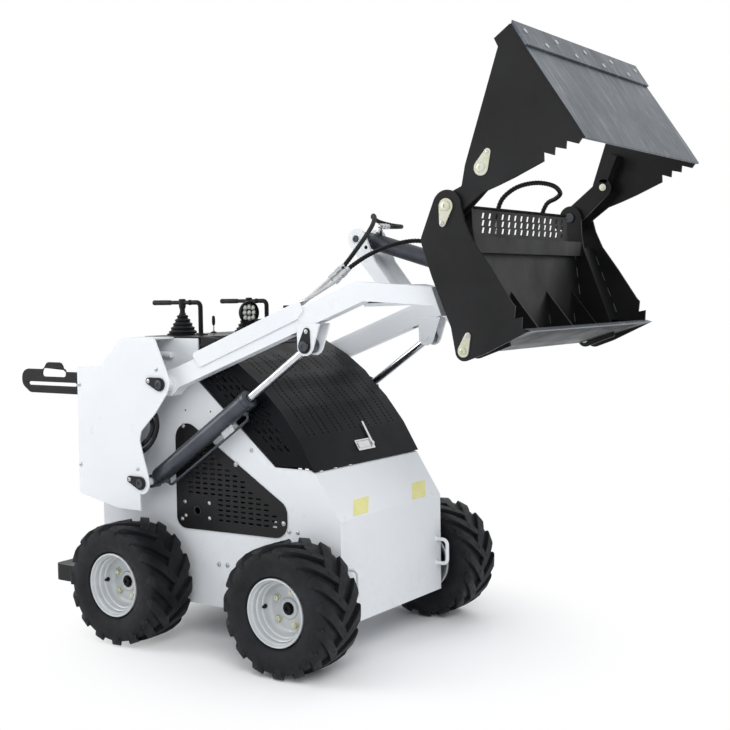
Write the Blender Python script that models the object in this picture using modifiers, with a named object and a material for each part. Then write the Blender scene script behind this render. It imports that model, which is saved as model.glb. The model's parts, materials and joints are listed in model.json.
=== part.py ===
# Compact skid steer loader with a clam bucket, built as separate named pieces.
# Metres. X points forward to the bucket, Y to the operator's left, Z up.
# Drawing frame: X = 0 midway between the axles, Y = 0 on the centre plane, Z = 0 on the ground.
# The machine empty moves the whole loader so that its origin is the middle of its footprint.

import math

import bmesh
import bpy
from mathutils import Matrix, Vector

# Running gear
WHEELBASE = 0.761
TYRE_RADIUS = 0.2265
TYRE_WIDTH = 0.212
RIM_SEAT_RADIUS = 0.1
RIM_FLANGE_RADIUS = 0.117
RIM_WIDTH = 0.190
RIM_SHEET = 0.006
HUB_RADIUS = 0.045
HUB_RECESS = 0.074
MOTOR_RADIUS = 0.062
MOTOR_FLANGE = 0.016

# Body
BODY_HALF = 0.332
TRACK_HALF = BODY_HALF + 0.0315 + TYRE_WIDTH / 2
BODY_WALL = 0.006
BODY_REAR = -0.660
BODY_FLOOR = 0.137
BODY_FRONT = 0.492
BODY_FOLD_Z = 0.507
BODY_SHOULDER_Z = 1.0175
BODY_SHOULDER_X = -0.520
CONSOLE_TOP = 1.137
CONSOLE_PLATE = 0.006
CONSOLE_REAR = -0.412
CONSOLE_FRONT = -0.142

# Hood
HOOD_HALF = BODY_HALF + 0.008
HOOD_SHEET = 0.004
HOOD_GAP = 0.008
HOOD_HINGE = (-0.078, 1.112)
HINGE_RADIUS = 0.007

# Tower, boom and cylinders, each point as (X, Z)
BOOM_PIVOT = (-0.216, 0.967)
LIFT_BASE = (-0.325, 0.596)
ARM_Y = BODY_HALF + 0.057
ARM_WIDTH = 0.050
TOWER_FACE = ARM_Y + 0.071
TOWER_PLATE = 0.006
ARM_WALL = 0.004
ARM_HEIGHT = 0.0715
EAR_PLATE = 0.008
ROD_PIN = (0.420, 1.113)
TILT_BASE = (0.395, 1.484)
TILT_PIN = (0.985, 1.310)
BUCKET_PIVOT = (1.010, 1.145)
CLAM_PIVOT = (1.016, 1.549)
CLAM_BASE = (1.072, 1.110)
CLAM_ROD_PIN = (0.964, 1.530)
CLAM_ARM_PIN = (1.138, 1.652)
PIN_CLEAR = 0.0009
TOUCH = 0.0003

# Layers of the bucket's sides, from the outside in
SIDE_FACE = 0.485
SIDE_PLATE = 0.008
CLAM_PLATE = 0.008
SIDE_GAP = 0.005
CLAM_CYLINDER_Y = 0.441
JAW_ARM_Y = 0.413
JAW_ARM_PLATE = 0.010
INNER_PLATE_Y = 0.398
INNER_PLATE = 0.010

# Reach of the whole machine, front and rear
PLATFORM_REAR = -0.996
CLAM_LIP = (1.466, 1.720)
ORIGIN_X = (PLATFORM_REAR + CLAM_LIP[0]) / 2

SIDES = (("right", -1), ("left", 1))


def clear_scene():
    for item in list(bpy.data.objects):
        bpy.data.objects.remove(item, do_unlink=True)


def new_collection(name):
    group = bpy.data.collections.new(name)
    bpy.context.scene.collection.children.link(group)
    return group


def make_material(name, colour, roughness, metallic):
    paint = bpy.data.materials.new(name)
    paint.use_nodes = True
    shader = paint.node_tree.nodes["Principled BSDF"]
    shader.inputs["Base Color"].default_value = (*colour, 1.0)
    shader.inputs["Roughness"].default_value = roughness
    shader.inputs["Metallic"].default_value = metallic
    return paint


clear_scene()
PARTS = new_collection("skid_steer_loader")
MATERIALS = {
    "white_paint": make_material("white_paint", (0.80, 0.82, 0.84), 0.35, 0.0),
    "black_paint": make_material("black_paint", (0.02, 0.02, 0.022), 0.42, 0.0),
    "worn_steel": make_material("worn_steel", (0.16, 0.19, 0.22), 0.45, 0.7),
    "cylinder_grey": make_material("cylinder_grey", (0.09, 0.10, 0.11), 0.35, 0.5),
    "chrome": make_material("chrome", (0.75, 0.76, 0.78), 0.12, 1.0),
    "rim_silver": make_material("rim_silver", (0.55, 0.56, 0.57), 0.40, 0.3),
    "tyre_rubber": make_material("tyre_rubber", (0.03, 0.03, 0.032), 0.85, 0.0),
    "rubber": make_material("rubber", (0.02, 0.02, 0.02), 0.7, 0.0),
    "engine_iron": make_material("engine_iron", (0.12, 0.12, 0.12), 0.6, 0.4),
    "lamp_black": make_material("lamp_black", (0.02, 0.02, 0.02), 0.4, 0.0),
}


# Bodies: one empty on each joint's axis, parented along the chain that moves
def body_points():
    points = {
        "chassis": ((0, 0, 0), None),
        "hood": ((HOOD_HINGE[0], 0, HOOD_HINGE[1]), "chassis"),
        "boom": ((BOOM_PIVOT[0], 0, BOOM_PIVOT[1]), "chassis"),
        "tilt_barrel": ((TILT_BASE[0], 0, TILT_BASE[1]), "boom"),
        "tilt_rod": ((TILT_BASE[0], 0, TILT_BASE[1]), "tilt_barrel"),
        "bucket": ((BUCKET_PIVOT[0], 0, BUCKET_PIVOT[1]), "boom"),
        "clam": ((CLAM_PIVOT[0], 0, CLAM_PIVOT[1]), "bucket"),
    }
    for side, sign in SIDES:
        lift = (LIFT_BASE[0], sign * ARM_Y, LIFT_BASE[1])
        clam = (CLAM_BASE[0], sign * CLAM_CYLINDER_Y, CLAM_BASE[1])
        points["lift_barrel_" + side] = (lift, "chassis")
        points["lift_rod_" + side] = (lift, "lift_barrel_" + side)
        points["clam_barrel_" + side] = (clam, "bucket")
        points["clam_rod_" + side] = (clam, "clam_barrel_" + side)
        for end, lead in (("front", 1), ("rear", -1)):
            axle = (lead * WHEELBASE / 2, sign * TRACK_HALF, TYRE_RADIUS)
            points["wheel_" + end + "_" + side] = (axle, "chassis")
    return points


BODIES = body_points()


def add_empties():
    machine = bpy.data.objects.new("machine", None)
    machine.location = (-ORIGIN_X, 0, 0)
    PARTS.objects.link(machine)
    empties = {}
    for name, (point, parent) in BODIES.items():
        empty = bpy.data.objects.new("axis_" + name, None)
        PARTS.objects.link(empty)
        start = BODIES[parent][0] if parent else (0, 0, 0)
        empty.parent = empties[parent] if parent else machine
        empty.location = [a - b for a, b in zip(point, start)]
        empties[name] = empty
    return empties


EMPTIES = add_empties()


# Shapes, all in the drawing frame
def scratch_object(mesh):
    item = bpy.data.objects.new("shape", mesh)
    bpy.context.scene.collection.objects.link(item)
    return item


def evaluated(item):
    bpy.context.view_layer.update()
    graph = bpy.context.evaluated_depsgraph_get()
    mesh = bpy.data.meshes.new_from_object(item.evaluated_get(graph))
    mesh.transform(item.matrix_world)
    return mesh


def tidy_mesh(mesh, merge=0.00002):
    work = bmesh.new()
    work.from_mesh(mesh)
    bmesh.ops.remove_doubles(work, verts=work.verts, dist=merge)
    bmesh.ops.recalc_face_normals(work, faces=work.faces)
    work.to_mesh(mesh)
    work.free()
    return mesh


def arc(centre, radius, start, end, step=30.0):
    count = max(1, round(abs(end - start) / step))
    turns = [math.radians(start + (end - start) * i / count) for i in range(count + 1)]
    return [(centre[0] + radius * math.cos(t), centre[1] + radius * math.sin(t)) for t in turns]


def rounded(corners, step=30.0):
    """Outline from corners given as (x, y) or (x, y, fillet radius)."""
    points = []
    for i, corner in enumerate(corners):
        radius = corner[2] if len(corner) > 2 else 0.0
        here = corner[:2]
        if radius <= 0.0:
            points.append(here)
            continue
        back = corners[i - 1][:2]
        ahead = corners[(i + 1) % len(corners)][:2]
        one = math.atan2(back[1] - here[1], back[0] - here[0])
        two = math.atan2(ahead[1] - here[1], ahead[0] - here[0])
        half = ((two - one + math.pi) % (2 * math.pi) - math.pi) / 2
        reach = radius / abs(math.sin(half))
        middle = one + half
        centre = (here[0] + reach * math.cos(middle), here[1] + reach * math.sin(middle))
        side = 1 if half > 0 else -1
        start = math.degrees(one) - side * 90.0
        sweep = side * (math.degrees(abs(half)) * 2 - 180.0)
        points += arc(centre, radius, start, start - abs(sweep) * side, step)
    return points


def slot(centre, length, width, angle=0.0, step=90.0):
    """Round-ended slot as an outline, its length at the given angle."""
    reach = (length - width) / 2
    turn = math.radians(angle)
    shift = (reach * math.cos(turn), reach * math.sin(turn))
    ahead = (centre[0] + shift[0], centre[1] + shift[1])
    back = (centre[0] - shift[0], centre[1] - shift[1])
    return (arc(ahead, width / 2, angle - 90, angle + 90, step)
            + arc(back, width / 2, angle + 90, angle + 270, step))


def strip(points, thickness):
    """Closed outline of a bent strip whose outer side follows the points."""
    inner = []
    for i, point in enumerate(points):
        back = points[max(i - 1, 0)]
        ahead = points[min(i + 1, len(points) - 1)]
        length = math.hypot(ahead[0] - back[0], ahead[1] - back[1])
        normal = ((ahead[1] - back[1]) / length, -(ahead[0] - back[0]) / length)
        inner.append((point[0] + thickness * normal[0], point[1] + thickness * normal[1]))
    return list(points) + inner[::-1]


PLANES = {
    "XZ": Matrix(((1, 0, 0, 0), (0, 0, 1, 0), (0, 1, 0, 0), (0, 0, 0, 1))),
    "XY": Matrix.Identity(4),
    "YZ": Matrix(((0, 0, 1, 0), (1, 0, 0, 0), (0, 1, 0, 0), (0, 0, 0, 1))),
}


def plate(outline, low, high, holes=(), plane="XZ"):
    """Flat piece: an outline with holes, from low to high across its plane."""
    curve = bpy.data.curves.new("outline", "CURVE")
    curve.dimensions = "2D"
    curve.fill_mode = "BOTH"
    curve.extrude = (high - low) / 2
    for loop in (outline, *holes):
        spline = curve.splines.new("POLY")
        spline.points.add(len(loop) - 1)
        for point, place in zip(spline.points, loop):
            point.co = (place[0], place[1], 0, 1)
        spline.use_cyclic_u = True
    item = scratch_object(curve)
    mesh = evaluated(item)
    bpy.data.objects.remove(item)
    mesh.transform(PLANES[plane] @ Matrix.Translation((0, 0, (low + high) / 2)))
    return tidy_mesh(mesh)


def mirrored(mesh):
    copy = mesh.copy()
    copy.transform(Matrix.Diagonal((1, -1, 1, 1)))
    return tidy_mesh(copy)


def side_of(mesh, sign):
    """The left piece as drawn, or its mirror image on the right."""
    return mesh if sign > 0 else mirrored(mesh)


def block(low, high):
    work = bmesh.new()
    bmesh.ops.create_cube(work, size=1.0)
    size = [b - a for a, b in zip(low, high)]
    middle = [(a + b) / 2 for a, b in zip(low, high)]
    bmesh.ops.scale(work, vec=size, verts=work.verts)
    bmesh.ops.translate(work, vec=middle, verts=work.verts)
    mesh = bpy.data.meshes.new("block")
    work.to_mesh(mesh)
    work.free()
    return mesh


def direction_matrix(direction):
    """Turn that takes the Z axis to a direction."""
    return Vector((0, 0, 1)).rotation_difference(Vector(direction).normalized()).to_matrix().to_4x4()


def turned(profile, start, direction, segments=18, closed=False):
    """Revolve (radius, distance) points about the line from start along direction."""
    mesh = bpy.data.meshes.new("turned")
    count = len(profile)
    edges = [(i, i + 1) for i in range(count - 1)]
    if closed:
        edges.append((count - 1, 0))
    mesh.from_pydata([(r, 0, d) for r, d in profile], edges, [])
    item = scratch_object(mesh)
    screw = item.modifiers.new("revolve", "SCREW")
    screw.axis = "Z"
    screw.steps = segments
    screw.render_steps = segments
    screw.use_merge_vertices = True
    screw.merge_threshold = 0.00005
    result = evaluated(item)
    bpy.data.objects.remove(item)
    spin = direction_matrix(direction)
    result.transform(Matrix.Translation(start) @ spin)
    return tidy_mesh(result)


def rod(start, end, radius, segments=14):
    """Solid round bar between two points."""
    way = [b - a for a, b in zip(start, end)]
    length = math.sqrt(sum(v * v for v in way))
    return turned([(0.0, 0.0), (radius, 0.0), (radius, length), (0.0, length)], start, way, segments)


def tube(points, radius, sides=2):
    """Round bar or pipe along points."""
    curve = bpy.data.curves.new("path", "CURVE")
    curve.dimensions = "3D"
    curve.bevel_depth = radius
    curve.bevel_resolution = sides
    curve.use_fill_caps = True
    spline = curve.splines.new("POLY")
    spline.points.add(len(points) - 1)
    for point, place in zip(spline.points, points):
        point.co = (*place, 1)
    item = scratch_object(curve)
    mesh = evaluated(item)
    bpy.data.objects.remove(item)
    return tidy_mesh(mesh)


def bent(points, radius, step=30.0):
    """Path in space with each inner corner replaced by an arc of the given radius."""
    path = [points[0]]
    for back, here, ahead in zip(points, points[1:], points[2:]):
        to_back = [a - b for a, b in zip(back, here)]
        to_ahead = [a - b for a, b in zip(ahead, here)]
        one = math.sqrt(sum(v * v for v in to_back))
        two = math.sqrt(sum(v * v for v in to_ahead))
        to_back = [v / one for v in to_back]
        to_ahead = [v / two for v in to_ahead]
        cosine = sum(a * b for a, b in zip(to_back, to_ahead))
        angle = math.acos(max(-1.0, min(1.0, cosine)))
        cut = min(radius / math.tan(angle / 2), 0.45 * one, 0.45 * two)
        fillet = cut * math.tan(angle / 2)
        count = max(1, round((180.0 - math.degrees(angle)) / step))
        middle = [a + b for a, b in zip(to_back, to_ahead)]
        length = math.sqrt(sum(v * v for v in middle))
        centre = [h + m / length * fillet / math.sin(angle / 2) for h, m in zip(here, middle)]
        start = [h + cut * v - c for h, v, c in zip(here, to_back, centre)]
        end = [h + cut * v - c for h, v, c in zip(here, to_ahead, centre)]
        sweep = math.pi - angle
        for i in range(count + 1):
            part = i / count
            a = math.sin((1 - part) * sweep) / math.sin(sweep)
            b = math.sin(part * sweep) / math.sin(sweep)
            path.append([c + a * s + b * e for c, s, e in zip(centre, start, end)])
    path.append(points[-1])
    return path


def combine(base, others, operation):
    """One Boolean of the base with all the other shapes at once."""
    tools = bpy.data.collections.new("cutters")
    bpy.context.scene.collection.children.link(tools)
    for other in others:
        tool = bpy.data.objects.new("cutter", other)
        tool.display_type = "WIRE"
        tool.hide_render = True
        tools.objects.link(tool)
    item = scratch_object(base)
    change = item.modifiers.new(operation.lower(), "BOOLEAN")
    change.operation = operation
    change.solver = "EXACT"
    change.operand_type = "COLLECTION"
    change.collection = tools
    mesh = evaluated(item)
    bpy.data.objects.remove(item)
    for tool in list(tools.objects):
        bpy.data.objects.remove(tool)
    bpy.data.collections.remove(tools)
    return tidy_mesh(mesh, 0.000005)


def joined(base, *others):
    return combine(base, others, "UNION")


def cut(base, *others):
    return combine(base, others, "DIFFERENCE")


def add_piece(name, mesh, body, material):
    """Put a finished shape on its body, with the origin on the joint's axis."""
    point = BODIES[body][0]
    mesh.name = name
    mesh.transform(Matrix.Translation([-v for v in point]))
    mesh.materials.clear()
    mesh.materials.append(MATERIALS[material])
    mesh.shade_smooth()
    mesh.set_sharp_from_angle(angle=math.radians(30))
    item = bpy.data.objects.new(name, mesh)
    item.parent = EMPTIES[body]
    PARTS.objects.link(item)
    return item


def y_pin(centre, low, high, radius, segments=14):
    """Round bar across the machine from Y low to Y high."""
    return rod((centre[0], low, centre[1]), (centre[0], high, centre[1]), radius, segments)


def teardrop(centre, tail, big, small):
    """Outline with a round end on the centre and a small round end at the tail."""
    way = math.degrees(math.atan2(tail[1] - centre[1], tail[0] - centre[0]))
    length = math.hypot(tail[0] - centre[0], tail[1] - centre[1])
    lean = math.degrees(math.acos((big - small) / length))
    return (arc(centre, big, way + lean, way + 360 - lean)
            + arc(tail, small, way - lean, way + lean))


def keeper(centre, tail, low, high, big, small):
    """Teardrop plate that holds a pin."""
    return plate(teardrop(centre, tail, big, small), low, high)


# Body tub, console and rear platform
HOOD_EDGE = ((-0.135, 0.979), (0.219, 0.684), (0.367, 0.684), (0.389, 0.674))


def body_outline():
    edge = [(x, z - HOOD_GAP) for x, z in HOOD_EDGE]
    rear, slope, _, tip = edge
    return [
        (BODY_REAR, BODY_FLOOR), (BODY_FRONT, BODY_FLOOR), (BODY_FRONT, BODY_FOLD_Z),
        (tip[0], tip[1]), (edge[2][0], edge[2][1]), (slope[0] - HOOD_GAP, slope[1]),
        (rear[0] - HOOD_GAP, rear[1]), (CONSOLE_FRONT, CONSOLE_TOP - CONSOLE_PLATE - TOUCH),
        (CONSOLE_REAR, CONSOLE_TOP - CONSOLE_PLATE - TOUCH),
        (BODY_SHOULDER_X, BODY_SHOULDER_Z), (BODY_REAR, BODY_SHOULDER_Z),
    ]


GRILLE = [(-0.199, 0.821, 0.012), (-0.262, 0.766, 0.02), (-0.264, 0.443, 0.03),
          (-0.212, 0.418, 0.02), (0.195, 0.423, 0.03), (0.261, 0.495, 0.03),
          (0.233, 0.557, 0.03), (0.050, 0.671, 0.05)]
GRILLE_PLATE = 0.004
GRILLE_LAP = 0.88


def shrunk(corners, factor):
    x = sum(c[0] for c in corners) / len(corners)
    z = sum(c[1] for c in corners) / len(corners)
    return [(x + (c[0] - x) * factor, z + (c[1] - z) * factor, *c[2:]) for c in corners]


def build_tub():
    shell = plate(body_outline(), -BODY_HALF, BODY_HALF)
    wall = BODY_WALL
    open_top = CONSOLE_TOP + 0.2
    rear = BODY_REAR + wall
    front = BODY_FRONT - wall
    top = BODY_SHOULDER_Z - wall
    lip = (HOOD_EDGE[3][0] - wall, HOOD_EDGE[3][1] - HOOD_GAP)
    inside = [
        (rear, BODY_FLOOR + wall), (front, BODY_FLOOR + wall), (front, BODY_FOLD_Z - 0.002),
        lip, (lip[0], open_top), (CONSOLE_REAR + wall, open_top), (CONSOLE_REAR + wall, CONSOLE_TOP - 0.02),
        (BODY_SHOULDER_X + wall, top), (rear, top),
    ]
    hollow = plate(inside, -BODY_HALF + wall, BODY_HALF - wall)
    window = plate(rounded(shrunk(GRILLE, GRILLE_LAP)), -BODY_HALF - 0.01, BODY_HALF + 0.01)
    add_piece("body_tub", cut(shell, hollow, window), "chassis", "white_paint")


def build_side_grilles():
    for side, sign in SIDES:
        low = BODY_HALF + TOUCH
        mesh = plate(rounded(GRILLE), low, low + GRILLE_PLATE)
        add_piece("side_grille_" + side, side_of(mesh, sign), "chassis", "black_paint")


ENGINE = ((-0.30, -0.20, 0.1433), (0.20, 0.20, 0.56))


def build_engine():
    add_piece("engine_block", block(*ENGINE), "chassis", "engine_iron")


def build_console():
    top = CONSOLE_TOP
    hinge_x, hinge_z = HOOD_HINGE
    ledge_top = hinge_z + CONSOLE_PLATE
    outline = [(CONSOLE_REAR, top), (CONSOLE_FRONT + 0.022, top), (CONSOLE_FRONT + 0.032, ledge_top),
               (hinge_x - HINGE_RADIUS - TOUCH, ledge_top)]
    sheet = plate(strip(outline, CONSOLE_PLATE), -BODY_HALF, BODY_HALF)
    add_piece("console_plate", sheet, "chassis", "black_paint")


PLATFORM_TOP = 0.188
PLATFORM_BOTTOM = 0.121
PLATFORM_HALF = 0.300
PLATFORM_SHEET = 0.005
PLATFORM_CORNER = 0.030


def build_platform():
    front = BODY_REAR - TOUCH
    corner = PLATFORM_CORNER
    outline = [(PLATFORM_REAR, -PLATFORM_HALF, corner), (front, -PLATFORM_HALF),
               (front, PLATFORM_HALF), (PLATFORM_REAR, PLATFORM_HALF, corner)]
    solid = plate(rounded(outline), PLATFORM_BOTTOM, PLATFORM_TOP, plane="XY")
    sheet = PLATFORM_SHEET
    under = [(PLATFORM_REAR + sheet, -PLATFORM_HALF + sheet, corner - sheet),
             (front - sheet, -PLATFORM_HALF + sheet), (front - sheet, PLATFORM_HALF - sheet),
             (PLATFORM_REAR + sheet, PLATFORM_HALF - sheet, corner - sheet)]
    hollow = plate(rounded(under), PLATFORM_BOTTOM - 0.02, PLATFORM_TOP - sheet, plane="XY")
    add_piece("rear_platform", cut(solid, hollow), "chassis", "black_paint")


# Tower plates: folded covers outside the arms, with the boom and cylinder pins
TOWER = [(-0.651, 1.021), (-0.522, 1.027), (-0.412, 1.136), (-0.240, 1.136, 0.02),
         (-0.192, 1.035), (-0.165, 0.973, 0.03), (-0.183, 0.935), (-0.241, 0.863),
         (-0.318, 0.790), (-0.328, 0.757, 0.03), (-0.312, 0.700, 0.05), (-0.289, 0.631)]
TOWER_EAR_RADIUS = 0.042
TOWER_FOOT = ((-0.329, 0.492), (-0.446, 0.492), (-0.655, 0.534))
TOWER_RETURN_TOP = 0.900
BOOM_PIN_RADIUS = 0.016
LIFT_PIN_RADIUS = 0.014
KEEPER_PLATE = 0.006


def build_towers():
    ear = arc(LIFT_BASE, TOWER_EAR_RADIUS, 20, -100)
    outline = rounded(TOWER) + ear + list(TOWER_FOOT)
    sheet = TOWER_PLATE
    inner = TOWER_FACE - sheet
    rear = TOWER_FOOT[2][0]
    face = plate(outline, inner, TOWER_FACE)
    reach = BODY_HALF + TOUCH
    back = block((rear, reach, TOWER_FOOT[2][1] + 0.02), (rear + sheet, inner + 0.002, TOWER_RETURN_TOP))
    lid = strip([(-0.640, 1.0275 - 0.0065), (-0.522, 1.0265), (-0.4125, 1.1355), (-0.262, 1.1355)], sheet)
    cover = plate(lid, reach, inner + 0.002)
    boom_pin = y_pin(BOOM_PIVOT, reach, TOWER_FACE + 0.010, BOOM_PIN_RADIUS)
    lift_pin = y_pin(LIFT_BASE, reach, TOWER_FACE + 0.010, LIFT_PIN_RADIUS)
    low, high = TOWER_FACE - 0.001, TOWER_FACE + KEEPER_PLATE
    tags = [keeper(pin, (pin[0] - 0.052, pin[1] + 0.012), low, high, 0.024, 0.012)
            for pin in (BOOM_PIVOT, LIFT_BASE)]
    spacer = y_pin(BOOM_PIVOT, ARM_Y + ARM_WIDTH / 2 + 0.003, inner + 0.001, 0.026)
    mesh = joined(face, back, cover, boom_pin, lift_pin, *tags, spacer)
    for side, sign in SIDES:
        add_piece("tower_plate_" + side, side_of(mesh.copy(), sign), "chassis", "white_paint")


GRIP = [(-0.977, 0.990, 0.03), (-0.977, 0.945, 0.03), (-0.930, 0.914, 0.02), (-0.610, 0.914, 0.01),
        (-0.610, 1.000, 0.01), (-0.730, 1.000, 0.01), (-0.745, 1.036, 0.02), (-0.830, 1.036, 0.02),
        (-0.850, 1.008, 0.02), (-0.950, 1.008, 0.03)]
GRIP_PLATE = 0.006


def build_grips():
    high = TOWER_FACE - TOWER_PLATE - TOUCH
    hand = rounded([(-0.862, 0.979, 0.012), (-0.722, 0.979, 0.012), (-0.722, 1.012, 0.012),
                    (-0.850, 1.012, 0.012)])
    notch = slot((-0.800, 0.951), 0.280, 0.014)
    mesh = plate(rounded(GRIP), high - GRIP_PLATE, high, [hand, notch])
    for side, sign in SIDES:
        add_piece("grip_plate_" + side, side_of(mesh.copy(), sign), "chassis", "black_paint")


HANDLE_Y = BODY_HALF - 0.032
HANDLE_LOW = 0.245
HANDLE_HIGH = 0.338
HANDLE_REACH = 0.048
HANDLE_RADIUS = 0.007


def build_front_handles():
    wall = BODY_FRONT + TOUCH
    for side, sign in SIDES:
        y = sign * HANDLE_Y
        route = [(wall, y, HANDLE_LOW), (wall + HANDLE_REACH, y, HANDLE_LOW),
                 (wall + HANDLE_REACH, y, HANDLE_HIGH), (wall, y, HANDLE_HIGH)]
        mesh = tube(bent(route, 0.02), HANDLE_RADIUS)
        add_piece("front_handle_" + side, mesh, "chassis", "white_paint")


LEVER_X = -0.338
LEVER_Y = 0.200
LEVER_TOP = CONSOLE_TOP + 0.125
BOOT_RADIUS = 0.060
BOOT_FOLDS = 5
GRIP_ENDS = (-0.150, 0.048)
GRIP_RADIUS = 0.009
BAR_X = -0.245
BAR_REACH = 0.040
BAR_RADIUS = 0.009
SMALL_LEVER = (-0.357, 0.0)
LAMP_AT = (-0.258, 0.100, CONSOLE_TOP + 0.079)
LAMP_RADIUS = 0.047


def build_levers():
    for side, sign in SIDES:
        start = (LEVER_X, sign * LEVER_Y, CONSOLE_TOP + TOUCH)
        profile = [(0.0, 0.0), (BOOT_RADIUS, 0.0), (BOOT_RADIUS, 0.006)]
        for i in range(BOOT_FOLDS):
            big = BOOT_RADIUS - 0.006 - 0.008 * i
            z = 0.006 + 0.015 * i
            profile += [(big, z + 0.003), (big, z + 0.008), (big - 0.009, z + 0.013)]
        top = LEVER_TOP - CONSOLE_TOP - TOUCH
        profile += [(0.010, top - 0.022), (0.013, top - 0.020), (0.013, top + 0.014), (0.0, top + 0.014)]
        stem = turned(profile, start, (0, 0, 1), 12)
        rear, front = GRIP_ENDS
        grip = tube([(LEVER_X + rear, sign * LEVER_Y, LEVER_TOP), (LEVER_X + front, sign * LEVER_Y, LEVER_TOP)],
                    GRIP_RADIUS)
        add_piece("drive_lever_" + side, joined(stem, grip), "chassis", "rubber")


def build_console_fittings():
    foot = CONSOLE_TOP + TOUCH
    for side, sign in SIDES:
        y = sign * LEVER_Y
        route = [(BAR_X, y, foot), (BAR_X, y, LEVER_TOP), (BAR_X - BAR_REACH, y, LEVER_TOP)]
        add_piece("reference_bar_" + side, tube(bent(route, 0.028), BAR_RADIUS), "chassis", "rubber")
    x, y = SMALL_LEVER
    lever = turned([(0.0, 0.0), (0.012, 0.0), (0.012, 0.004), (0.003, 0.006), (0.003, 0.032), (0.0065, 0.033),
                    (0.0065, 0.068), (0.0, 0.069)], (x, y, foot), (0, 0, 1), 10)
    add_piece("aux_lever", lever, "chassis", "rubber")
    x, y, z = LAMP_AT
    rim = LAMP_RADIUS
    shell = turned([(0.0, -0.034), (0.020, -0.032), (rim - 0.006, -0.012), (rim, 0.0), (rim, 0.010),
                    (rim - 0.005, 0.010), (rim - 0.005, 0.004), (0.0, 0.004)], LAMP_AT, (1, 0, 0))
    post = block((x - 0.024, y - 0.012, foot), (x - 0.018, y + 0.012, z))
    base = block((x - 0.034, y - 0.016, foot), (x + 0.010, y + 0.016, foot + 0.005))
    add_piece("work_lamp", joined(shell, post, base), "chassis", "lamp_black")


# Hood: one folded sheet with side plates
HOOD_TOP = [(-0.060, 1.103), (0.053, 1.044), (0.145, 0.978), (0.177, 0.942), (0.243, 0.881),
            (0.323, 0.783), (0.377, 0.694), (0.389, 0.674)]
HOOD_REAR_DROP = (-0.135, 0.979)
HOOD_SIDE_INSET = 0.0008


def build_hood():
    sheet = plate(strip(HOOD_TOP, HOOD_SHEET), -HOOD_HALF, HOOD_HALF)
    inset = HOOD_SIDE_INSET
    side_outline = [(x, z - inset) for x, z in HOOD_TOP[:-1]]
    side_outline = [(HOOD_TOP[0][0] - 0.004, HOOD_TOP[0][1] - inset)] + side_outline[1:]
    lower = [(0.3865, 0.6748), (0.367, 0.684), (0.219, 0.684), HOOD_REAR_DROP]
    walls = [plate(side_outline + lower, sign * HOOD_HALF - 0.0005 * sign - (HOOD_SHEET if sign > 0 else 0),
                   sign * HOOD_HALF - 0.0005 * sign + (HOOD_SHEET if sign < 0 else 0)) for _, sign in SIDES]
    hinge = rod((HOOD_HINGE[0], -0.25, HOOD_HINGE[1]), (HOOD_HINGE[0], 0.25, HOOD_HINGE[1]), HINGE_RADIUS, 12)
    leaf = plate(strip([(HOOD_HINGE[0] - 0.001, HOOD_HINGE[1] + 0.004), (-0.050, 1.1005)], 0.005), -0.24, 0.24)
    add_piece("hood", joined(sheet, *walls, leaf, hinge), "hood", "black_paint")


LATCH_Y = (-0.020, 0.060)
LATCH_THICK = 0.007


def build_latch():
    """Latch plate lying on the hood's lowest facet."""
    upper, lower = HOOD_TOP[5], HOOD_TOP[6]
    way = (lower[0] - upper[0], lower[1] - upper[1])
    length = math.hypot(*way)
    normal = (-way[1] / length, way[0] / length)
    corners = []
    for part, lift in ((0.30, TOUCH), (0.80, TOUCH), (0.80, LATCH_THICK), (0.30, LATCH_THICK)):
        corners.append((upper[0] + part * way[0] + lift * normal[0], upper[1] + part * way[1] + lift * normal[1]))
    add_piece("hood_latch", plate(corners, *LATCH_Y), "hood", "chrome")


# Boom: two box-section arms, a cross tube, a tilt tower and the end ears
ARM_FOOT = (-0.190, 0.946)
ARM_SLOPE = 20.54
ARM_ELBOW_X = 0.656
ARM_END = ((0.917, 1.306), (0.952, 1.214), (0.921, 1.247))
ARM_EYE_RADIUS = 0.047


def arm_line(x, height):
    slope = math.radians(ARM_SLOPE)
    return ARM_FOOT[1] + (x - ARM_FOOT[0]) * math.tan(slope) + height / math.cos(slope)


def arm_outline(inset=0.0):
    slope = math.radians(ARM_SLOPE)
    low, high = inset, ARM_HEIGHT - inset
    elbow_top = 0.624 + inset * 0.2
    radius = ARM_EYE_RADIUS - inset
    start = BOOM_PIVOT
    outline = arc(start, radius, ARM_SLOPE + 90, ARM_SLOPE + 270)
    outline += [(start[0] + 0.05, arm_line(start[0] + 0.05, low))]
    outline += [(ARM_ELBOW_X, arm_line(ARM_ELBOW_X, low))]
    outline += [(ARM_END[2][0], ARM_END[2][1] + inset), (ARM_END[1][0] - inset, ARM_END[1][1] + inset * 2),
                (ARM_END[0][0] - inset, ARM_END[0][1] - inset)]
    outline += [(elbow_top, arm_line(elbow_top, high)), (start[0] + 0.05, arm_line(start[0] + 0.05, high))]
    return outline


def along_arm(distance, height=0.0):
    """Point in (X, Z) at a distance along the arm from the rod pin, and above it."""
    slope = math.radians(ARM_SLOPE)
    return (ROD_PIN[0] + distance * math.cos(slope) - height * math.sin(slope),
            ROD_PIN[1] + distance * math.sin(slope) + height * math.cos(slope))


EAR_RADIUS = 0.033
POCKET_BACK = 0.060
POCKET_AHEAD = 0.095
POCKET_DEPTH = 0.085
END_EARS = ((ARM_Y - 0.119, ARM_Y - 0.107), (ARM_Y - 0.073, ARM_Y - 0.061))
END_PIN_RADIUS = 0.0125
END_EAR_RADIUS = 0.034


PIPE_RADIUS = 0.006
PIPE_START = 0.175
PIPE_RISE = 0.019
COUPLING_RADIUS = 0.0105
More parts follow.
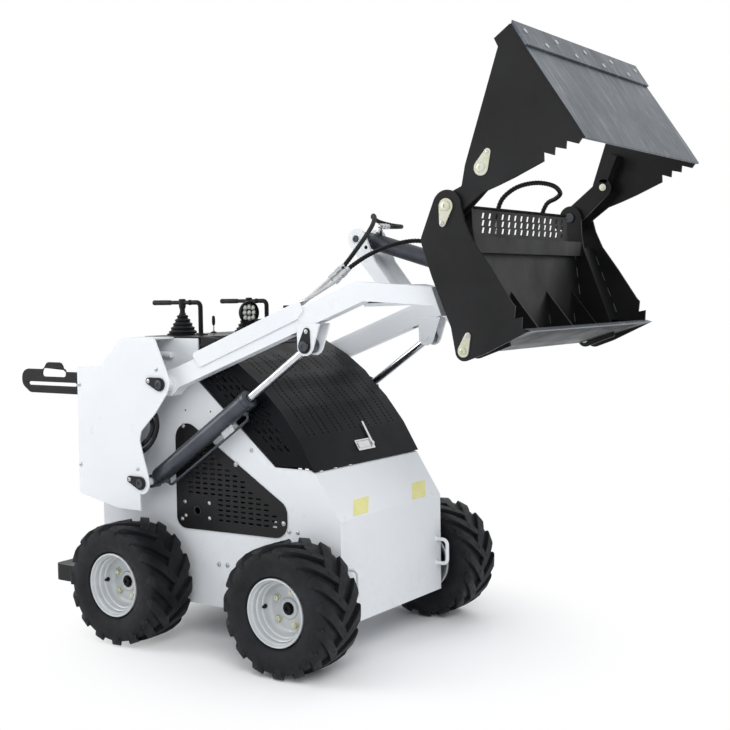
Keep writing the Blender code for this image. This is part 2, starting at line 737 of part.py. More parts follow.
# For each pipe: Y on the arm, X where it leaves the arm, the coupling's lower end and its hose end
ARM_PIPES = ((-0.380, 0.385, (0.477, -0.344, 1.340), (0.5028, -0.3222, 1.3717)),
             (-0.402, 0.415, (0.507, -0.358, 1.330), (0.5328, -0.3362, 1.3617)))


def arm_pipes():
    """Two pipes that come out of the arm's top, run along it and rise to their couplings."""
    shapes = []
    for y, leave, low, high in ARM_PIPES:
        route = [(PIPE_START, y, arm_line(PIPE_START, ARM_HEIGHT - 0.002)),
                 (PIPE_START, y, arm_line(PIPE_START, ARM_HEIGHT + PIPE_RISE)),
                 (leave, y, arm_line(leave, ARM_HEIGHT + PIPE_RISE)), low]
        shapes.append(tube(bent(route, 0.03), PIPE_RADIUS))
        shapes.append(rod([a - 0.08 * (b - a) for a, b in zip(low, high)], high, COUPLING_RADIUS, 6))
    return shapes


def build_arms():
    inner_face = ARM_Y - ARM_WIDTH / 2
    outer_face = ARM_Y + ARM_WIDTH / 2
    wall = ARM_WALL
    tube_solid = plate(arm_outline(), inner_face, outer_face)
    eye = y_pin(BOOM_PIVOT, inner_face - 0.004, outer_face + 0.002, 0.034)
    bore = y_pin(BOOM_PIVOT, inner_face - 0.02, outer_face + 0.02, BOOM_PIN_RADIUS + PIN_CLEAR)
    start, end = BOOM_PIVOT[0] + 0.06, 0.905
    cavity = [(start, arm_line(start, wall)), (ARM_ELBOW_X, arm_line(ARM_ELBOW_X, wall)),
              (end, ARM_END[2][1] + 0.006), (end, ARM_END[0][1] - 0.004),
              (0.624, arm_line(0.624, ARM_HEIGHT - wall)), (start, arm_line(start, ARM_HEIGHT - wall))]
    hollow = plate(cavity, inner_face + wall, outer_face - wall)
    pocket = plate([along_arm(-POCKET_BACK, 0.02), along_arm(POCKET_AHEAD, 0.02),
                    along_arm(POCKET_AHEAD, POCKET_DEPTH), along_arm(-POCKET_BACK, POCKET_DEPTH)],
                   inner_face + wall, outer_face - wall)
    tube_solid = cut(joined(tube_solid, eye), bore, hollow, pocket)
    ear_outline = [(0.386, 1.190)] + arc(ROD_PIN, EAR_RADIUS, 200, 340) + [(0.482, 1.190)]
    ears = []
    for low in (outer_face - 0.0005, inner_face - EAR_PLATE + 0.0005):
        ears.append(plate(ear_outline, low, low + EAR_PLATE))
    head = y_pin(ROD_PIN, outer_face + EAR_PLATE - 0.002, outer_face + EAR_PLATE + 0.008, 0.017)
    tag = keeper(ROD_PIN, (ROD_PIN[0] + 0.010, ROD_PIN[1] + 0.050), outer_face + EAR_PLATE - 0.002,
                 outer_face + EAR_PLATE + 0.004, 0.024, 0.012)
    inner_head = y_pin(ROD_PIN, inner_face - EAR_PLATE - 0.004, inner_face - EAR_PLATE + 0.002, 0.012)
    box = plate([(0.860, 1.251), (0.918, 1.2475), (0.940, 1.225), (0.908, 1.303), (0.860, 1.306)],
                END_EARS[0][0] - 0.010, inner_face + 0.002)
    end_outline = ([(0.868, 1.300), (0.872, 1.2560)] + arc(BUCKET_PIVOT, END_EAR_RADIUS, 225, 405)
                   + [(0.930, 1.262), (0.905, 1.300)])
    end_ears = [plate(end_outline, low, high) for low, high in END_EARS]
    end_pin = y_pin(BUCKET_PIVOT, END_EARS[0][0] - 0.006, END_EARS[1][1] + 0.006, END_PIN_RADIUS)
    mesh = joined(tube_solid, *ears, head, tag, inner_head, box, *end_ears, end_pin)
    add_piece("boom_arm_left", mesh.copy(), "boom", "white_paint")
    add_piece("boom_arm_right", joined(mirrored(mesh), *arm_pipes()), "boom", "white_paint")


SIGN_PLATE = [(-0.096, 1.079, 0.012), (-0.060, 1.030, 0.012), (0.388, 1.203, 0.012),
              (0.413, 1.232, 0.012), (0.397, 1.267, 0.008)]
SIGN_THICK = 0.006


def build_sign_plates():
    low = ARM_Y + ARM_WIDTH / 2 + TOUCH
    mesh = plate(rounded(SIGN_PLATE[::-1]), low, low + SIGN_THICK)
    for side, sign in SIDES:
        add_piece("arm_side_plate_" + side, side_of(mesh.copy(), sign), "boom", "white_paint")


CROSS_REAR = 0.625
CROSS_FRONT = 0.745
CROSS_LOW = 1.250
CROSS_HIGH = 1.302
TOWER_HALF = 0.070
TILT_TOWER_PLATE = 0.010
TILT_PIN_RADIUS = 0.012
TILT_EYE_RADIUS = 0.038


def build_crossmember():
    reach = ARM_Y - ARM_WIDTH / 2 - TOUCH
    outline = [(CROSS_REAR, CROSS_LOW - 0.006), (CROSS_FRONT, CROSS_LOW + 0.004),
               (CROSS_FRONT, CROSS_HIGH), (CROSS_REAR, CROSS_HIGH)]
    solid = plate(outline, -reach, reach)
    wall = 0.006
    hollow = plate([(CROSS_REAR + wall, CROSS_LOW + wall), (CROSS_FRONT - wall, CROSS_LOW + wall + 0.002),
                    (CROSS_FRONT - wall, CROSS_HIGH - wall), (CROSS_REAR + wall, CROSS_HIGH - wall)],
                   -reach - 0.01, reach + 0.01)
    add_piece("boom_crossmember", cut(solid, hollow), "boom", "white_paint")


def build_tilt_tower():
    foot = CROSS_HIGH + TOUCH
    rear = CROSS_REAR - TOUCH
    outline = (arc(TILT_BASE, TILT_EYE_RADIUS, 15, 210)
               + [(0.408, 1.403), (0.471, 1.330), (0.530, 1.266), (rear, 1.256), (rear, foot),
                  (0.690, foot), (0.600, 1.318), (0.540, 1.318), (0.472, 1.401)])
    plates = []
    for low in (TOWER_HALF - TILT_TOWER_PLATE, -TOWER_HALF):
        plates.append(plate(outline, low, low + TILT_TOWER_PLATE))
    web = plate([(0.3895, 1.426), (0.409, 1.4035), (0.472, 1.3305), (0.531, 1.267), (0.620, 1.258), (0.620, 1.266),
                 (0.535, 1.275), (0.478, 1.336), (0.415, 1.409), (0.3955, 1.431)], -TOWER_HALF + 0.002,
                TOWER_HALF - 0.002)
    pin = y_pin(TILT_BASE, -TOWER_HALF - 0.006, TOWER_HALF + 0.006, TILT_PIN_RADIUS)
    add_piece("tilt_tower", joined(plates[0], web, plates[1], pin), "boom", "white_paint")


# Hydraulic cylinders: a barrel with its base eye, and a rod with its own eye
def unit(start, end):
    way = (end[0] - start[0], 0.0, end[1] - start[1])
    length = math.hypot(way[0], way[2])
    return [v / length for v in way], length


def build_cylinder(name, bodies, base, tip, y, size, pins, ports=()):
    """size: barrel radius, barrel length, rod radius, eye radius, eye width, distance from the
    base pin to the rod's inner end; pins: base pin radius; ports: shapes fused to the barrel."""
    barrel_radius, barrel_length, rod_radius, eye_radius, eye_width, inner_end = size
    way, length = unit(base, tip)
    origin = (base[0], y, base[1])
    back = eye_radius * 0.75
    profile = [(0.0, back), (barrel_radius * 0.6, back), (barrel_radius, back + 0.012),
               (barrel_radius, barrel_length - GLAND_LENGTH),
               (barrel_radius + GLAND_WALL, barrel_length - GLAND_LENGTH),
               (barrel_radius + GLAND_WALL, barrel_length), (rod_radius + PIN_CLEAR, barrel_length),
               (rod_radius + PIN_CLEAR, back + 0.022), (0.0, back + 0.022)]
    barrel = turned(profile, origin, way, 16)
    half = eye_width / 2
    eye = y_pin(base, y - half, y + half, eye_radius, 16)
    bore = y_pin(base, y - half - 0.02, y + half + 0.02, pins + PIN_CLEAR, 16)
    add_piece(name.replace("cylinder", "barrel"), cut(joined(barrel, eye, *ports), bore), bodies[0],
              "cylinder_grey")
    start = [o + w * inner_end for o, w in zip(origin, way)]
    neck = length - eye_radius * 0.7
    end = [o + w * neck for o, w in zip(origin, way)]
    shaft = rod(start, end, rod_radius)
    tip_eye = y_pin(tip, y - half, y + half, eye_radius, 16)
    tip_bore = y_pin(tip, y - half - 0.02, y + half + 0.02, eye_radius * 0.5)
    add_piece(name.replace("cylinder", "rod"), cut(joined(shaft, tip_eye), tip_bore), bodies[1], "chrome")


def beside(base, tip, along, out):
    """Point in (X, Z) at a distance along a cylinder from its base pin and out from its axis."""
    way, _ = unit(base, tip)
    return (base[0] + way[0] * along - way[2] * out, base[1] + way[2] * along + way[0] * out)


def lift_line(y):
    """Steel pipe under a lift cylinder's barrel, from one port to the other."""
    along_out = ((0.060, -0.020), (0.060, -0.044), (0.530, -0.044), (0.530, -0.020))
    route = [(x, y, z) for x, z in (beside(LIFT_BASE, ROD_PIN, *place) for place in along_out)]
    return tube(bent(route, 0.016), 0.005)


def tilt_port(along, sign):
    """Port on top of the tilt cylinder with an elbow that turns sideways to its hose."""
    low = beside(TILT_BASE, TILT_PIN, along, 0.020)
    high = beside(TILT_BASE, TILT_PIN, along, PORT_OUT)
    stub = rod((low[0], 0, low[1]), (high[0], 0, high[1]), PORT_RADIUS, 10)
    elbow = rod((high[0], -sign * PORT_RADIUS, high[1]), (high[0], sign * PORT_REACH, high[1]), PORT_RADIUS, 10)
    return [stub, elbow]


GLAND_LENGTH = 0.030
GLAND_WALL = 0.002
PORT_OUT = 0.060
PORT_RADIUS = 0.010
PORT_REACH = 0.030
BASE_PORT = 0.045
GLAND_PORT = 0.345
LIFT_SIZE = (0.0325, 0.575, 0.015, 0.025, 0.038, 0.350)
TILT_SIZE = (0.030, 0.400, 0.014, 0.025, 0.050, 0.165)
CLAM_SIZE = (0.016, 0.330, 0.009, 0.016, 0.028, 0.120)
CLAM_PIN_RADIUS = 0.009


def build_cylinders():
    ports = tilt_port(BASE_PORT, 1) + tilt_port(GLAND_PORT, -1)
    build_cylinder("tilt_cylinder", ("tilt_barrel", "tilt_rod"), TILT_BASE, TILT_PIN, 0.0, TILT_SIZE,
                   TILT_PIN_RADIUS, ports)
    for side, sign in SIDES:
        build_cylinder("lift_cylinder_" + side, ("lift_barrel_" + side, "lift_rod_" + side),
                       LIFT_BASE, ROD_PIN, sign * ARM_Y, LIFT_SIZE, LIFT_PIN_RADIUS, [lift_line(sign * ARM_Y)])
        build_cylinder("clam_cylinder_" + side, ("clam_barrel_" + side, "clam_rod_" + side),
                       CLAM_BASE, CLAM_ROD_PIN, sign * CLAM_CYLINDER_Y, CLAM_SIZE, CLAM_PIN_RADIUS)


# Hoses that hang free between fittings, each route a list chosen by hand
TILT_HOSE_BASE = [(0.5031, -0.3219, 1.3721), (0.5140, -0.3127, 1.3855), (0.520, -0.262, 1.430),
                  (0.510, -0.186, 1.480), (0.490, -0.110, 1.524), (0.460, -0.048, 1.556), (0.420, 0.004, 1.569),
                  (0.384, 0.056, 1.565), (0.371, 0.114, 1.553), (0.390, 0.163, 1.542), (0.430, 0.170, 1.535),
                  (0.4551, 0.126, 1.531), (0.4551, 0.070, 1.5287), (0.4551, 0.048, 1.5287),
                  (0.4551, 0.0303, 1.5287)]
TILT_HOSE_GLAND = [(0.5331, -0.3359, 1.3621), (0.5440, -0.3267, 1.3755), (0.580, -0.268, 1.417),
                   (0.626, -0.196, 1.450), (0.676, -0.134, 1.465), (0.722, -0.084, 1.458),
                   (0.7430, -0.048, 1.4440), (0.7430, -0.0303, 1.4440)]
BUCKET_HOSE = [(1.019, -0.170, 1.5003), (1.019, -0.170, 1.518), (1.020, -0.166, 1.548), (1.030, -0.144, 1.592),
               (1.058, -0.096, 1.628), (1.094, -0.032, 1.643), (1.122, 0.034, 1.636), (1.118, 0.096, 1.616),
               (1.082, 0.138, 1.602), (1.042, 0.154, 1.588), (1.021, 0.157, 1.552), (1.019, 0.156, 1.518),
               (1.019, 0.156, 1.5003)]
HOSE_RADIUS = 0.0075
HOSE_STEP = 0.019


def smooth_route(points):
    """Points at even steps on a smooth curve through the route's own points."""
    ends = [[2 * a - b for a, b in zip(points[0], points[1])], [2 * a - b for a, b in zip(points[-1], points[-2])]]
    chain = [ends[0], *points, ends[1]]
    path = []
    for before, here, ahead, after in zip(chain, chain[1:], chain[2:], chain[3:]):
        count = max(1, round(math.dist(here, ahead) / HOSE_STEP))
        for i in range(count):
            t = i / count
            path.append([0.5 * (2 * b + (c - a) * t + (2 * a - 5 * b + 4 * c - d) * t ** 2
                                + (3 * b - a - 3 * c + d) * t ** 3)
                         for a, b, c, d in zip(before, here, ahead, after)])
    path.append(list(points[-1]))
    return path


def build_hoses():
    hoses = (("tilt_hose_base", TILT_HOSE_BASE, "boom"), ("tilt_hose_gland", TILT_HOSE_GLAND, "boom"),
             ("bucket_hose", BUCKET_HOSE, "bucket"))
    for name, route, body in hoses:
        add_piece(name, tube(smooth_route(route), HOSE_RADIUS, 3), body, "rubber")


# Bucket: the rear section with its blade, and the frame that hangs it on the arms
SIDE_OUTLINE = [(0.921, 1.450, 0.03), (0.961, 1.336), (1.027, 1.182)]
SIDE_FRONT = [(1.147, 1.104), (1.285, 1.169), (1.266, 1.179), (1.268, 1.213), (1.242, 1.208), (1.246, 1.245),
              (1.236, 1.255), (1.165, 1.360), (1.104, 1.443), (1.078, 1.499)]
SIDE_EAR_RADIUS = 0.050
SIDE_FOOT_RADIUS = 0.031
CLAM_HINGE_RADIUS = 0.014


def lean_x(z, x=1.065, at=1.170):
    """X of the bucket's back plate face at a height; it leans back like the side plates."""
    lean = (CLAM_BASE[0] - CLAM_PIVOT[0]) / (CLAM_PIVOT[1] - CLAM_BASE[1])
    return x - (z - at) * lean


BACK_PLATE = 0.008
FLOOR_BACK = (1.062, 1.098)
FLOOR_FRONT = (1.294, 1.172)
FLOOR_THICK = 0.014
LIP_BACK_X = 1.125
GUSSET_Y = (-0.130, 0.130)
BEAM_TOP = 1.460
STUB_RADIUS = 0.010
# Front edge of the inner plates, closed to the side plates by a narrow panel
PANEL_EDGE = [(1.169, 1.180), (1.067, 1.440)]


def build_bucket_back():
    side_low = SIDE_FACE - SIDE_PLATE
    inner_low = INNER_PLATE_Y - INNER_PLATE / 2
    inner_high = INNER_PLATE_Y + INNER_PLATE / 2
    inner_outline = ([(lean_x(1.46) - 0.030, 1.460), (1.020, 1.180)] + arc(CLAM_BASE, 0.027, 200, 290)
                     + [(1.186, 1.123), *PANEL_EDGE, (1.049, 1.484)] + arc(CLAM_PIVOT, 0.038, -10, 190))
    back_inset = 0.001
    panel = [(x - back_inset, z) for x, z in PANEL_EDGE] + [(x - 0.0065, z - 0.0022) for x, z in PANEL_EDGE[::-1]]
    solids = []
    for sign in (1, -1):
        solids.append(side_of(plate(inner_outline, inner_low, inner_high), sign))
        solids.append(side_of(plate(panel, inner_high - 0.001, side_low - TOUCH), sign))
        for centre, radius in ((CLAM_PIVOT, CLAM_HINGE_RADIUS), (CLAM_BASE, CLAM_PIN_RADIUS)):
            solids.append(side_of(y_pin(centre, inner_low - 0.004, inner_low + 0.001, radius), sign))
    thick = BACK_PLATE
    back = plate([(lean_x(1.448), 1.448), (lean_x(1.448) - thick, 1.448), (lean_x(1.112) - thick, 1.112),
                  (lean_x(1.112), 1.112)], -inner_low - 0.001, inner_low + 0.001)
    floor_outline = [FLOOR_BACK, FLOOR_FRONT, (FLOOR_FRONT[0] - 0.022, FLOOR_FRONT[1] + 0.006),
                     (FLOOR_BACK[0] - 0.004, FLOOR_BACK[1] + FLOOR_THICK)]
    floor = plate(floor_outline, -inner_high + 0.001, inner_high - 0.001)
    slope = (FLOOR_FRONT[1] - FLOOR_BACK[1]) / (FLOOR_FRONT[0] - FLOOR_BACK[0])
    lip_back = (LIP_BACK_X, FLOOR_BACK[1] + (LIP_BACK_X - FLOOR_BACK[0]) * slope)
    lip = plate([lip_back, FLOOR_FRONT, floor_outline[2], (lip_back[0] - 0.003, lip_back[1] + FLOOR_THICK - 0.001)],
                -side_low + TOUCH, side_low - TOUCH)
    cross = plate([(1.005, 1.410), (1.085, 1.410), (1.085, BEAM_TOP), (1.005, BEAM_TOP)],
                  -inner_low - 0.001, inner_low + 0.001)
    gussets = []
    for y in (-0.330, *GUSSET_Y, 0.330):
        gussets.append(plate([(lean_x(1.290) - 0.003, 1.290), (lean_x(1.10) - 0.003, 1.106),
                              (1.150, 1.132), (1.150, 1.165)], y - 0.004, y + 0.004))
    stubs = [rod((x, y, BEAM_TOP - 0.002), (x, y, BUCKET_HOSE[0][2] - TOUCH), STUB_RADIUS, 6)
             for x, y, _ in (BUCKET_HOSE[0], BUCKET_HOSE[-1])]
    add_piece("bucket_blade", joined(floor, lip, back, cross, *solids, *gussets, *stubs), "bucket", "black_paint")


def build_bucket_sides():
    """Outer side plates, each with the clam's pivot pin and its cylinder's base pin."""
    outline = (rounded(SIDE_OUTLINE + [(0, 0)])[:-1] + arc(CLAM_BASE, SIDE_FOOT_RADIUS, 200, 290)
               + SIDE_FRONT + arc(CLAM_PIVOT, SIDE_EAR_RADIUS, -5, 160))
    start = INNER_PLATE_Y + INNER_PLATE / 2 + TOUCH
    face = plate(outline, SIDE_FACE - SIDE_PLATE, SIDE_FACE)
    pivot = y_pin(CLAM_PIVOT, start, SIDE_FACE + 0.008, CLAM_HINGE_RADIUS)
    base = y_pin(CLAM_BASE, start, SIDE_FACE + 0.009, CLAM_PIN_RADIUS)
    mesh = joined(face, pivot, base)
    for side, sign in SIDES:
        add_piece("bucket_side_" + side, side_of(mesh.copy(), sign), "bucket", "black_paint")


GUARD_X = 1.049
GUARD_SHEET = 0.005
GUARD_TOP = 1.552
GUARD_PITCH = 0.061


def build_guard():
    half = INNER_PLATE_Y - INNER_PLATE / 2 - TOUCH
    low = BEAM_TOP + TOUCH
    outline = [(-half, low), (half, low), (half, GUARD_TOP - 0.008), (half - 0.025, GUARD_TOP),
               (0.025 - half, GUARD_TOP), (-half, GUARD_TOP - 0.008)]
    holes = []
    for row in range(3):
        for column in range(12):
            y = GUARD_PITCH * (column - 5.5)
            z = low + 0.022 + 0.023 * row
            holes.append([(y - 0.005, z - 0.007), (y + 0.001, z - 0.007),
                          (y + 0.005, z + 0.007), (y - 0.001, z + 0.007)])
    add_piece("bucket_guard", plate(outline, GUARD_X, GUARD_X + GUARD_SHEET, holes, "YZ"), "bucket", "black_paint")


LUG_Y = (ARM_Y - 0.1005, ARM_Y - 0.0795)
FRAME_THICK = 0.010


def build_attach_frame():
    thick = FRAME_THICK
    front = -BACK_PLATE - TOUCH
    low, high = 1.150, 1.400
    outline = [(lean_x(high) + front, high), (lean_x(high) + front - thick, high),
               (lean_x(low) + front - thick, low), (lean_x(low) + front, low)]
    sheet = plate(outline, -0.330, 0.330)
    window = block((0.95, -0.060, 1.190), (1.10, 0.060, 1.375))
    sheet = cut(sheet, window)
    pieces = []
    for sign in (1, -1):
        lug = plate(arc(BUCKET_PIVOT, 0.030, 75, 295) + [(1.052, 1.152), (1.047, 1.215)], *LUG_Y)
        bore = y_pin(BUCKET_PIVOT, LUG_Y[0] - 0.01, LUG_Y[1] + 0.01, END_PIN_RADIUS + PIN_CLEAR)
        pieces.append(side_of(cut(lug, bore), sign))
        ear = plate(arc(TILT_PIN, 0.030, 80, 260) + [(1.034, 1.262), (1.026, 1.345)], 0.0615, 0.0735)
        head = y_pin(TILT_PIN, 0.0725, 0.0815, 0.015)
        pieces.append(side_of(ear, sign))
        pieces.append(side_of(head, sign))
    add_piece("attach_frame", joined(sheet, *pieces), "bucket", "black_paint")


# Clam: side plates, a bent floor and the arms that carry it
CLAM_SIDE = [(1.229, 2.068), (1.176, 2.032), (1.189, 2.007), (1.074, 1.670, 0.03), (1.062, 1.610, 0.02)]
CLAM_LOWER = [(1.137, 1.585, 0.02), (1.182, 1.600), (1.241, 1.622), (1.335, 1.662), (1.334, 1.688), (1.368, 1.677),
              (1.370, 1.700), (1.404, 1.692), (1.406, 1.715), (1.442, 1.704), (1.462, 1.7195)]
CLAM_BEND = (1.420, 1.790)
CLAM_SEAM = (1.278, 1.998)
CLAM_TOP = (1.232, 2.068)
CLAM_FLOOR = 0.008
CLAM_EYE_RADIUS = 0.040


def build_clam():
    side_high = SIDE_FACE - SIDE_PLATE - SIDE_GAP
    side_low = side_high - CLAM_PLATE
    neck = [(0.988, 1.578)]
    lower = rounded([(0, 1.5)] + CLAM_LOWER)[1:]
    inset = [(1.456, 1.7215), (1.414, 1.788), (1.273, 1.9955)]
    outline = (rounded(CLAM_SIDE + [(1.0, 1.5)])[:-1] + neck + arc(CLAM_PIVOT, CLAM_EYE_RADIUS, 150, 300)
               + lower[:-1] + inset)
    solids = []
    for sign in (1, -1):
        face = plate(outline, side_low, side_high)
        bore = y_pin(CLAM_PIVOT, side_low - 0.02, side_high + 0.02, CLAM_HINGE_RADIUS + PIN_CLEAR)
        solids.append(side_of(cut(face, bore), sign))
    shell = [CLAM_TOP, CLAM_SEAM, CLAM_BEND, CLAM_LIP, (1.4585, 1.7165), (1.4125, 1.7865), (1.2715, 1.9945),
             (1.2260, 2.0640)]
    floor = plate(shell, -side_high - 0.0005, side_high + 0.0005)
    add_piece("clam_jaw", joined(solids[0], floor, solids[1]), "clam", "black_paint")


def build_clam_arms():
    """Arms inside the clam's side plates, each with a horn for its cylinder's rod."""
    side_low = SIDE_FACE - SIDE_PLATE - SIDE_GAP - CLAM_PLATE
    low = JAW_ARM_Y - JAW_ARM_PLATE / 2
    high = JAW_ARM_Y + JAW_ARM_PLATE / 2
    outline = (arc(CLAM_ARM_PIN, 0.030, -45, 125) + arc(CLAM_PIVOT, 0.036, 125, 115)
               + arc(CLAM_ROD_PIN, 0.021, 115, 285) + arc(CLAM_PIVOT, 0.036, 285, 312))
    arm = plate(outline, low, high)
    bridge = plate([(1.120, 1.672), (1.150, 1.666), (1.190, 1.760), (1.160, 1.772)], low, side_low - TOUCH)
    pin = y_pin(CLAM_ARM_PIN, low - 0.005, side_low - TOUCH, 0.012)
    rod_head = y_pin(CLAM_ROD_PIN, low - 0.004, low + 0.001, 0.012)
    bore = y_pin(CLAM_PIVOT, low - 0.02, high + 0.02, CLAM_HINGE_RADIUS + PIN_CLEAR)
    mesh = cut(joined(arm, bridge, pin, rod_head), bore)
    for side, sign in SIDES:
        add_piece("clam_arm_" + side, side_of(mesh.copy(), sign), "clam", "black_paint")


def build_clam_edge():
    """Thick edge plate bolted on the outside of the clam's upper lip."""
    way = (CLAM_SEAM[0] - CLAM_TOP[0], CLAM_SEAM[1] - CLAM_TOP[1])
    length = math.hypot(*way)
    normal = (-way[1] / length, way[0] / length)
    start = (CLAM_TOP[0] + TOUCH * normal[0], CLAM_TOP[1] + TOUCH * normal[1])
    end = (CLAM_SEAM[0] + TOUCH * normal[0], CLAM_SEAM[1] + TOUCH * normal[1])
    outline = [start, end, (end[0] + 0.008 * normal[0], end[1] + 0.008 * normal[1]),
               (start[0] + 0.008 * normal[0] - 0.004, start[1] + 0.008 * normal[1] + 0.006)]
    add_piece("clam_edge", plate(outline, -SIDE_FACE + 0.014, SIDE_FACE - 0.014), "clam", "worn_steel")


# Wheels: tyre, rim and the motor that carries them
def build_wheels():
    half = TYRE_WIDTH / 2
    seat = RIM_SEAT_RADIUS
    flange = RIM_FLANGE_RADIUS
    rim_half = RIM_WIDTH / 2
    wall = 0.018
    tyre_profile = [(flange + TOUCH, rim_half - 0.012), (flange + 0.012, half - 0.010), (0.165, half),
                    (0.205, half - 0.006), (TYRE_RADIUS - 0.006, half - 0.020), (TYRE_RADIUS, half - 0.040),
                    (TYRE_RADIUS, -half + 0.040), (TYRE_RADIUS - 0.006, -half + 0.020), (0.205, -half + 0.006),
                    (0.165, -half), (flange + 0.012, -half + 0.010), (flange + TOUCH, -rim_half + 0.012),
                    (flange + 0.020, -rim_half + 0.020), (0.165, -half + wall), (TYRE_RADIUS - 0.028, -half + 0.045),
                    (TYRE_RADIUS - 0.028, half - 0.045), (0.165, half - wall), (flange + 0.020, rim_half - 0.020)]
    sheet = RIM_SHEET
    disc = rim_half - HUB_RECESS
    rim_profile = [(0.0, disc), (HUB_RADIUS, disc), (seat - 0.012, disc), (seat - sheet, rim_half - 0.014),
                   (flange - 0.004, rim_half), (flange, rim_half), (flange, rim_half - 0.0115),
                   (seat, rim_half - 0.024), (seat, -rim_half + 0.024), (flange, -rim_half + 0.0115),
                   (flange, -rim_half), (flange - 0.005, -rim_half), (seat - sheet, -rim_half + 0.018),
                   (seat - sheet, disc - 0.014), (HUB_RADIUS, disc - 0.014), (0.0, disc - 0.014)]
    for end, lead in (("front", 1), ("rear", -1)):
        for side, sign in SIDES:
            where = (lead * WHEELBASE / 2, sign * TRACK_HALF, TYRE_RADIUS)
            body = "wheel_" + end + "_" + side
            name = end + "_" + side
            tyre = turned(tyre_profile, where, (0, sign, 0), 28, closed=True)
            add_piece("tyre_" + name, tyre, body, "tyre_rubber")
            add_piece("rim_" + name, turned(rim_profile, where, (0, sign, 0), 20), body, "rim_silver")
            start = (where[0], sign * (BODY_HALF + TOUCH), where[2])
            reach = TRACK_HALF + disc - 0.014 - TOUCH - BODY_HALF - TOUCH
            motor = turned([(0.0, 0.0), (0.070, 0.0), (0.070, MOTOR_FLANGE), (MOTOR_RADIUS, MOTOR_FLANGE),
                            (MOTOR_RADIUS - 0.006, reach - 0.030), (0.030, reach - 0.020), (0.030, reach),
                            (0.0, reach)], start, (0, sign, 0))
            add_piece("wheel_motor_" + name, motor, "chassis", "cylinder_grey")


def main():
    build_tub()
    build_side_grilles()
    build_engine()
    build_console()
    build_platform()
    build_towers()
    build_grips()
    build_front_handles()
    build_levers()
    build_console_fittings()
    build_hood()
    build_latch()
    build_arms()
    build_sign_plates()
    build_crossmember()
    build_tilt_tower()
    build_cylinders()
    build_hoses()
    build_bucket_back()
    build_bucket_sides()
    build_guard()
    build_attach_frame()
    build_clam()
    build_clam_arms()
    build_clam_edge()
    build_wheels()


main()
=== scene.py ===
# Looks of a compact skid steer loader with a clam bucket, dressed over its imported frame.
# Metres, in the row frame: X forward to the bucket, Y to the operator's left, Z up.

import json
import math

import bmesh
import bpy
from mathutils import Matrix, Vector

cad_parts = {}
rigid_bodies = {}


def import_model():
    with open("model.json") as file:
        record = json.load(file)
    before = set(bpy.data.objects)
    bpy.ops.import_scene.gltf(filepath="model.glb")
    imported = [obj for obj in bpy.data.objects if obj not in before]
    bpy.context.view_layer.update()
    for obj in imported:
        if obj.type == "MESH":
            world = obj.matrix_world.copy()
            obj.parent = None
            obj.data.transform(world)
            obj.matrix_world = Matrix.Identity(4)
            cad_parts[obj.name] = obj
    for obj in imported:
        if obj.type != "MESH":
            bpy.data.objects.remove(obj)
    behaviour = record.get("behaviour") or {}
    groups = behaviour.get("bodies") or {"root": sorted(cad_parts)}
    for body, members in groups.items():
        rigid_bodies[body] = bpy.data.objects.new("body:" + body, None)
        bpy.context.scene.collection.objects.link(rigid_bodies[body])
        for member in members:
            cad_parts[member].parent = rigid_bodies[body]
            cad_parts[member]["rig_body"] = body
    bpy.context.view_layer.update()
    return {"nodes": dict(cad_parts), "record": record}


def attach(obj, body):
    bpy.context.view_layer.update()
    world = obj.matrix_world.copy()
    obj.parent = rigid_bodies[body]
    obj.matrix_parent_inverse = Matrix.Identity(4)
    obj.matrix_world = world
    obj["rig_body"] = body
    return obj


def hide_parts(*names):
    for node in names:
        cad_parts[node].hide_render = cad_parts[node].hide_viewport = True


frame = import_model()
NODES = frame["nodes"]
SLOT_OF = {row["node"]: row["material_slot"] for row in frame["record"]["subparts"]}
BODY_OF = {name: item["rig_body"] for name, item in NODES.items()}
SIDES = (("right", -1), ("left", 1))


# Camera and stage
CAMERA_AT = (2.676, -3.6947, 1.2973)
CAMERA_AZIMUTH = 34.4544
CAMERA_DROP = 3.4849
CAMERA_ROLL = -0.8572
CAMERA_LENS = 60.2
SENSOR = 36.0


def add_camera():
    azimuth = math.radians(CAMERA_AZIMUTH)
    drop = math.radians(CAMERA_DROP)
    roll = math.radians(CAMERA_ROLL)
    ahead = Vector((-math.sin(azimuth) * math.cos(drop), math.cos(azimuth) * math.cos(drop), -math.sin(drop)))
    level = Vector((math.cos(azimuth), math.sin(azimuth), 0.0))
    upright = level.cross(ahead)
    right = level * math.cos(roll) + upright * math.sin(roll)
    up = upright * math.cos(roll) - level * math.sin(roll)
    data = bpy.data.cameras.new("camera")
    data.lens = CAMERA_LENS
    data.sensor_width = SENSOR
    data.clip_end = 60.0
    camera = bpy.data.objects.new("camera", data)
    turn = Matrix((right, up, -ahead)).transposed().to_4x4()
    camera.matrix_world = Matrix.Translation(CAMERA_AT) @ turn
    bpy.context.scene.collection.objects.link(camera)
    bpy.context.scene.camera = camera


def add_lamp(name, place, target, size, power, mirrored=True):
    data = bpy.data.lights.new(name, "AREA")
    data.shape = "RECTANGLE"
    data.size = size[0]
    data.size_y = size[1]
    data.energy = power
    lamp = bpy.data.objects.new(name, data)
    lamp.location = place
    lamp.rotation_euler = (Vector(target) - Vector(place)).to_track_quat("-Z", "Y").to_euler()
    lamp.visible_glossy = mirrored
    bpy.context.scene.collection.objects.link(lamp)


WORLD_LIGHT = 0.62
BACKDROP = (1.0, 1.0, 1.0, 1.0)
FLOOR_WHITE = (0.96, 0.96, 0.965, 1.0)
FLOOR_FADE = (0.45, 1.15)


